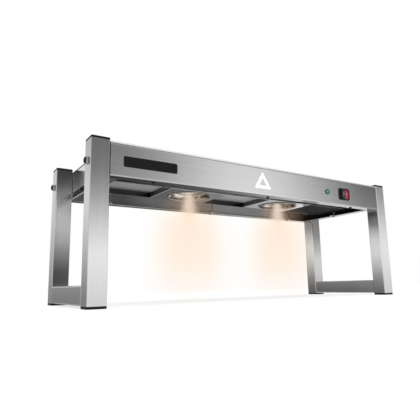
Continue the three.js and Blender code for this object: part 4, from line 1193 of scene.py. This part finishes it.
# ------------------------------------------------------------------ studio
def studio():
    # world: a soft studio seen only in reflections and as fill
    world = bpy.data.worlds.new("studio")
    world.use_nodes = True
    scene.world = world
    N = Nodes(world.node_tree)
    d = N.n("ShaderNodeTexCoord").outputs["Generated"]
    sep = N.n("ShaderNodeSeparateXYZ", {"Vector": d}).outputs
    dz = sep[2]
    flat = N.math("SQRT", N.math("MAXIMUM", N.math("ADD", N.math("MULTIPLY", sep[0], sep[0]), N.math("MULTIPLY", sep[1], sep[1])), 1e-6))
    ux, uy = N.math("DIVIDE", sep[0], flat), N.math("DIVIDE", sep[1], flat)
    p = N.math("MULTIPLY_ADD", dz, 0.5, 0.5)

    def at(el):
        return 0.5 + 0.5 * sin(radians(el))

    front_v = N.ramp(p, [(0.0, 0.95), (at(-40), 0.95), (at(-12), 0.90), (at(-3), 0.93), (at(-1), 0.98), (at(1), 1.05), (at(3), 1.14), (at(4.5), 1.14), (at(6), 1.03), (at(8), 0.86),
                         (at(10), 0.68), (at(12), 0.51), (at(14), 0.40), (at(16), 0.31), (at(18), 0.25), (at(22), 0.24), (at(26), 0.50), (at(32), 0.85), (at(45), 1.0), (at(65), 1.0), (1.0, 0.95)], "LINEAR")
    rear_v = N.ramp(p, [(0.0, 0.95), (at(-45), 0.80), (at(-25), 0.25), (at(-14), 0.06), (at(-9), 0.08), (at(-3), 0.20), (at(-1), 0.30), (at(0), 0.36), (at(2), 0.47), (at(5), 0.68), (at(8), 0.85),
                        (at(11), 0.95), (at(13), 0.93), (at(15), 0.82), (at(18), 0.68), (at(24), 0.55), (at(32), 0.50), (at(45), 0.65), (at(65), 0.92), (1.0, 0.90)], "LINEAR")
    side = N.span(uy, -0.25, 0.25, 0.0, 1.0, True)

    def lobe(az, k, gain=1.0):
        ax, ay = sin(radians(az)), -cos(radians(az))
        dot = N.math("ADD", N.math("MULTIPLY", ux, ax), N.math("MULTIPLY", uy, ay))
        return N.math("MINIMUM", N.math("MULTIPLY", N.math("EXPONENT", N.math("MULTIPLY_ADD", dot, k, -k)), gain), 1.0)

    def band(stops):
        return N.ramp(p, [(at(e), v) for e, v in stops], "LINEAR")

    # below the horizon the rear is pale too, except for a dark stretch at the right
    pale = N.math("MULTIPLY", N.math("SUBTRACT", 1.0, lobe(148.0, 9.0, 1.6)), band([(-60, 0.0), (-40, 0.25), (-22, 0.62), (-10, 0.55), (-5, 0.30), (-2, 0.0)]))
    base = N.mix(side, front_v, N.math("ADD", rear_v, pale))

    # a tall soft window in front, a low bright wall at the rear right, dark flags beside them
    plus = N.math("MULTIPLY", lobe(38.5, 70.0, 1.15), band([(6, 0.0), (10, 0.30), (13, 0.50), (17, 0.62), (26, 0.60), (36, 0.15), (45, 0.0)]))
    plus = N.math("ADD", plus, N.math("MULTIPLY", lobe(118.0, 17.0, 1.9), band([(-40, 0.0), (-20, 0.30), (-13, 0.60), (-10, 0.85), (-7, 0.95), (-3, 0.8), (0, 0.3), (4, 0.0)])))
    plus = N.math("ADD", plus, N.math("MULTIPLY", lobe(-112.0, 10.0, 1.0), band([(-10, 0.0), (0, 0.35), (10, 0.5), (30, 0.5), (50, 0.0)])))
    plus = N.math("ADD", plus, N.math("MULTIPLY", lobe(-129.0, 60.0, 1.5), band([(1, 0.0), (3, 0.28), (4.5, 0.30), (6, 0.05), (7, 0.0)])))
    dark = N.math("MULTIPLY", lobe(58.0, 90.0, 1.3), band([(6, 0.0), (8, 0.25), (10, 0.45), (14, 0.50), (22, 0.4), (30, 0.0)]))
    flag = N.math("MULTIPLY", lobe(-127.0, 60.0, 1.6), band([(5, 0.0), (6, 0.25), (7, 0.60), (8, 0.88), (12, 0.88), (20, 0.4), (30, 0.0)]))
    flag2 = N.math("MULTIPLY", lobe(-130.0, 60.0, 1.6), band([(-14, 0.0), (-7, 0.80), (-1, 0.80), (0, 0.50), (1.5, 0.15), (3, 0.0)]))
    keep = N.math("MULTIPLY", N.math("MULTIPLY", N.math("SUBTRACT", 1.0, dark), N.math("SUBTRACT", 1.0, flag)), N.math("SUBTRACT", 1.0, flag2))
    total = N.math("MULTIPLY", N.math("ADD", base, plus), keep)
    bg = N.n("ShaderNodeBackground", {"Color": total, "Strength": 1.0})
    N.n("ShaderNodeOutputWorld", {"Surface": bg.outputs[0]})

    # pale floor, with a white studio beyond it
    bm = bmesh.new()
    rings = [0.0, 0.3, 0.6, 1.0, 1.6, 2.6, 4.0, 7.0, 12.0, 19.0]
    n = 64
    rows = [[bm.verts.new((0, 0, 0))]] + [[bm.verts.new((r * cos(2 * pi * i / n), r * sin(2 * pi * i / n), 0)) for i in range(n)] for r in rings[1:]]
    for a, b in zip(rows, rows[1:]):
        for i in range(n):
            j = (i + 1) % n
            bm.faces.new((a[0], b[i], b[j]) if len(a) == 1 else (a[i], b[i], b[j], a[j]))
    me = bpy.data.meshes.new("floor")
    bm.to_mesh(me)
    bm.free()
    floor = bpy.data.objects.new("floor", me)
    floor.location.z = -0.0002
    scene.collection.objects.link(floor)
    m, N = material("floor")
    pos = N.n("ShaderNodeTexCoord").outputs["Object"]
    dist = N.n("ShaderNodeVectorMath", {0: pos}, operation="LENGTH").outputs["Value"]
    far = N.span(dist, 0.9, 3.0, 0.0, 1.0, True)
    c = N.noise(pos, 4.0, 3.0, 0.5)
    col = N.mix(c, (0.40, 0.40, 0.40), (0.42, 0.42, 0.42))
    dif = N.n("ShaderNodeBsdfDiffuse", {"Color": col})
    em = N.n("ShaderNodeEmission", {"Color": (1, 1, 1, 1), "Strength": 0.60})
    near = N.n("ShaderNodeAddShader")
    N.link(dif.outputs[0], near.inputs[0])
    N.link(em.outputs[0], near.inputs[1])
    white = N.n("ShaderNodeEmission", {"Color": (1, 1, 1, 1), "Strength": 1.0})
    mix = N.n("ShaderNodeMixShader", {"Fac": far})
    N.link(near.outputs[0], mix.inputs[1])
    N.link(white.outputs[0], mix.inputs[2])
    back = N.n("ShaderNodeNewGeometry").outputs["Backfacing"]
    clear = N.n("ShaderNodeBsdfTransparent")
    top = N.n("ShaderNodeMixShader", {"Fac": back})
    N.link(mix.outputs[0], top.inputs[1])
    N.link(clear.outputs[0], top.inputs[2])
    N.n("ShaderNodeOutputMaterial", {"Surface": top.outputs[0]})
    me.materials.append(m)
    floor.visible_glossy = False
    floor.visible_diffuse = False
    floor.visible_transmission = False
    floor.visible_shadow = False

    # white backdrop all round, seen by the camera only
    bm = bmesh.new()
    bmesh.ops.create_icosphere(bm, subdivisions=4, radius=20.0)
    me = bpy.data.meshes.new("backdrop")
    bm.to_mesh(me)
    bm.free()
    drop = bpy.data.objects.new("backdrop", me)
    scene.collection.objects.link(drop)
    m, N = material("backdrop")
    e = N.n("ShaderNodeEmission", {"Color": (1, 1, 1, 1), "Strength": 1.0})
    N.n("ShaderNodeOutputMaterial", {"Surface": e.outputs[0]})
    me.materials.append(m)
    for k in ("visible_glossy", "visible_diffuse", "visible_transmission", "visible_shadow", "visible_volume_scatter"):
        setattr(drop, k, False)

    # soft overhead light for the plastics and the floor
    def area(name, loc, rot, size, power, colour=(1, 1, 1), glossy=False):
        data = bpy.data.lights.new(name, "AREA")
        data.shape, data.size, data.size_y, data.energy, data.color = "RECTANGLE", size[0], size[1], power, colour
        o = bpy.data.objects.new(name, data)
        o.location, o.rotation_euler = loc, rot
        o.visible_glossy = glossy
        o.visible_camera = False
        scene.collection.objects.link(o)
        return o
    area("overhead", (0, -0.2, 1.8), (0, 0, 0), (2.4, 1.8), 22.0)
    area("front_key", (-0.5, -2.2, 0.9), (radians(72), 0, radians(-12)), (1.8, 1.0), 30.0)
    # the warm beams under the lamps: tinted air that thins out downwards, with a bright core
    for side, sx in (("left", -1), ("right", 1)):
        cx = sx * 0.150
        bm = bmesh.new()
        n = 32
        prof = [(0.020, 0.280), (0.040, 0.262), (0.047, 0.2575), (0.105, 0.225), (0.150, 0.17), (0.165, 0.09), (0.160, 0.001)]
        rows = [[bm.verts.new((cx, 0, prof[0][1]))]]
        rows += [[bm.verts.new((cx + r * cos(2 * pi * i / n), r * sin(2 * pi * i / n), z)) for i in range(n)] for r, z in prof]
        rows.append([bm.verts.new((cx, 0, prof[-1][1]))])
        for a, b in zip(rows, rows[1:]):
            for i in range(n):
                j = (i + 1) % n
                if len(a) == 1:
                    bm.faces.new((a[0], b[i], b[j]))
                elif len(b) == 1:
                    bm.faces.new((a[i], b[0], a[j]))
                else:
                    bm.faces.new((a[i], b[i], b[j], a[j]))
        bmesh.ops.recalc_face_normals(bm, faces=bm.faces[:])
        me = bpy.data.meshes.new(f"{side}_beam")
        bm.to_mesh(me)
        bm.free()
        beam = bpy.data.objects.new(f"{side}_beam", me)
        scene.collection.objects.link(beam)
        m, N = material(f"{side}_beam")
        pos = N.n("ShaderNodeTexCoord").outputs["Object"]
        sep = N.n("ShaderNodeSeparateXYZ", {"Vector": pos}).outputs
        dx = N.math("SUBTRACT", sep[0], cx)
        r2 = N.math("ADD", N.math("MULTIPLY", dx, dx), N.math("MULTIPLY", sep[1], sep[1]))
        h = N.span(sep[2], 0.280, 0.0, 0.0, 1.0)
        wide = N.ramp(h, [(0.0, 0.025), (0.10, 0.050), (0.20, 0.072), (0.32, 0.084), (0.6, 0.094), (1.0, 0.092)], "LINEAR")
        q = N.math("DIVIDE", r2, N.math("MULTIPLY", wide, wide))
        halo = N.math("EXPONENT", N.math("MULTIPLY", N.math("POWER", q, 1.7), -1.0))
        fade = N.ramp(h, [(0.0, 0.0), (0.08, 0.5), (0.16, 0.9), (0.25, 1.0), (0.48, 0.92), (0.67, 0.76), (0.84, 0.45), (1.0, 0.12)], "LINEAR")
        streak = N.noise(N.stretch(pos, (42.0, 42.0, 1.6)), 1.0, 2.0, 0.5)
        streak = N.math("MULTIPLY_ADD", N.span(streak, 0.36, 0.64), 0.5, 0.75)
        dens = N.math("MULTIPLY", N.math("MULTIPLY", N.math("MULTIPLY", halo, fade), streak), 2.75)
        air = N.n("ShaderNodeVolumeAbsorption", {"Color": (1.0, 0.60, 0.20, 1.0), "Density": dens})
        # bright core: hides what is behind it as much as it glows, so it keeps its colour over white
        thin = N.ramp(h, [(0.0, 0.006), (0.05, 0.008), (0.12, 0.0115), (0.22, 0.016), (0.5, 0.020), (1.0, 0.022)], "LINEAR")
        core = N.math("EXPONENT", N.math("MULTIPLY", N.math("DIVIDE", r2, N.math("MULTIPLY", thin, thin)), -1.0))
        cfade = N.ramp(h, [(0.0, 1.0), (0.05, 0.98), (0.12, 0.74), (0.20, 0.56), (0.27, 0.34), (0.36, 0.10), (0.5, 0.0)], "LINEAR")
        solid_core = N.math("MAXIMUM", N.math("MULTIPLY_ADD", N.math("MULTIPLY", core, cfade), 105.0, -0.03), 0.0)
        warm = N.ramp(h, [(0.0, 1.0), (0.21, 1.0), (0.27, 1.17), (1.0, 1.17)], "LINEAR")
        veil = N.n("ShaderNodeVolumeAbsorption", {"Color": (0.0, 0.0, 0.0, 1.0), "Density": solid_core})
        shine = N.n("ShaderNodeEmission", {"Color": (0.84, 0.74, 0.65, 1.0), "Strength": N.math("MULTIPLY", solid_core, warm)})
        near = N.math("EXPONENT", N.math("MULTIPLY", r2, -1.0 / 0.048 ** 2))
        nfade = N.ramp(h, [(0.0, 0.15), (0.05, 0.5), (0.10, 1.0), (0.20, 1.0), (0.25, 0.55), (0.30, 0.12), (0.36, 0.0)], "LINEAR")
        aura = N.n("ShaderNodeEmission", {"Color": (1.0, 0.60, 0.34, 1.0), "Strength": N.math("MULTIPLY", N.math("MULTIPLY", near, nfade), 1.75)})
        both = air
        for extra in (veil, shine, aura):
            add = N.n("ShaderNodeAddShader")
            N.link(both.outputs[0], add.inputs[0])
            N.link(extra.outputs[0], add.inputs[1])
            both = add
        out = N.n("ShaderNodeOutputMaterial")
        N.link(both.outputs[0], out.inputs["Volume"])
        me.materials.append(m)
        for k in ("visible_glossy", "visible_diffuse", "visible_transmission", "visible_shadow"):
            setattr(beam, k, False)

    # the lamps' own warm light
    for side, sx in (("left", -1), ("right", 1)):
        data = bpy.data.lights.new(f"{side}_warm", "SPOT")
        data.energy, data.color, data.spot_size, data.spot_blend, data.shadow_soft_size = 0.08, (1.0, 0.80, 0.62), radians(100), 1.0, 0.02
        o = bpy.data.objects.new(f"{side}_warm", data)
        o.location = (sx * 0.150, 0, 0.272)
        o.visible_camera = False
        scene.collection.objects.link(o)


studio()
scene.view_settings.view_transform = "Standard"
scene.view_settings.look = "None"
scene.view_settings.exposure = 0.0
scene.view_settings.gamma = 1.0
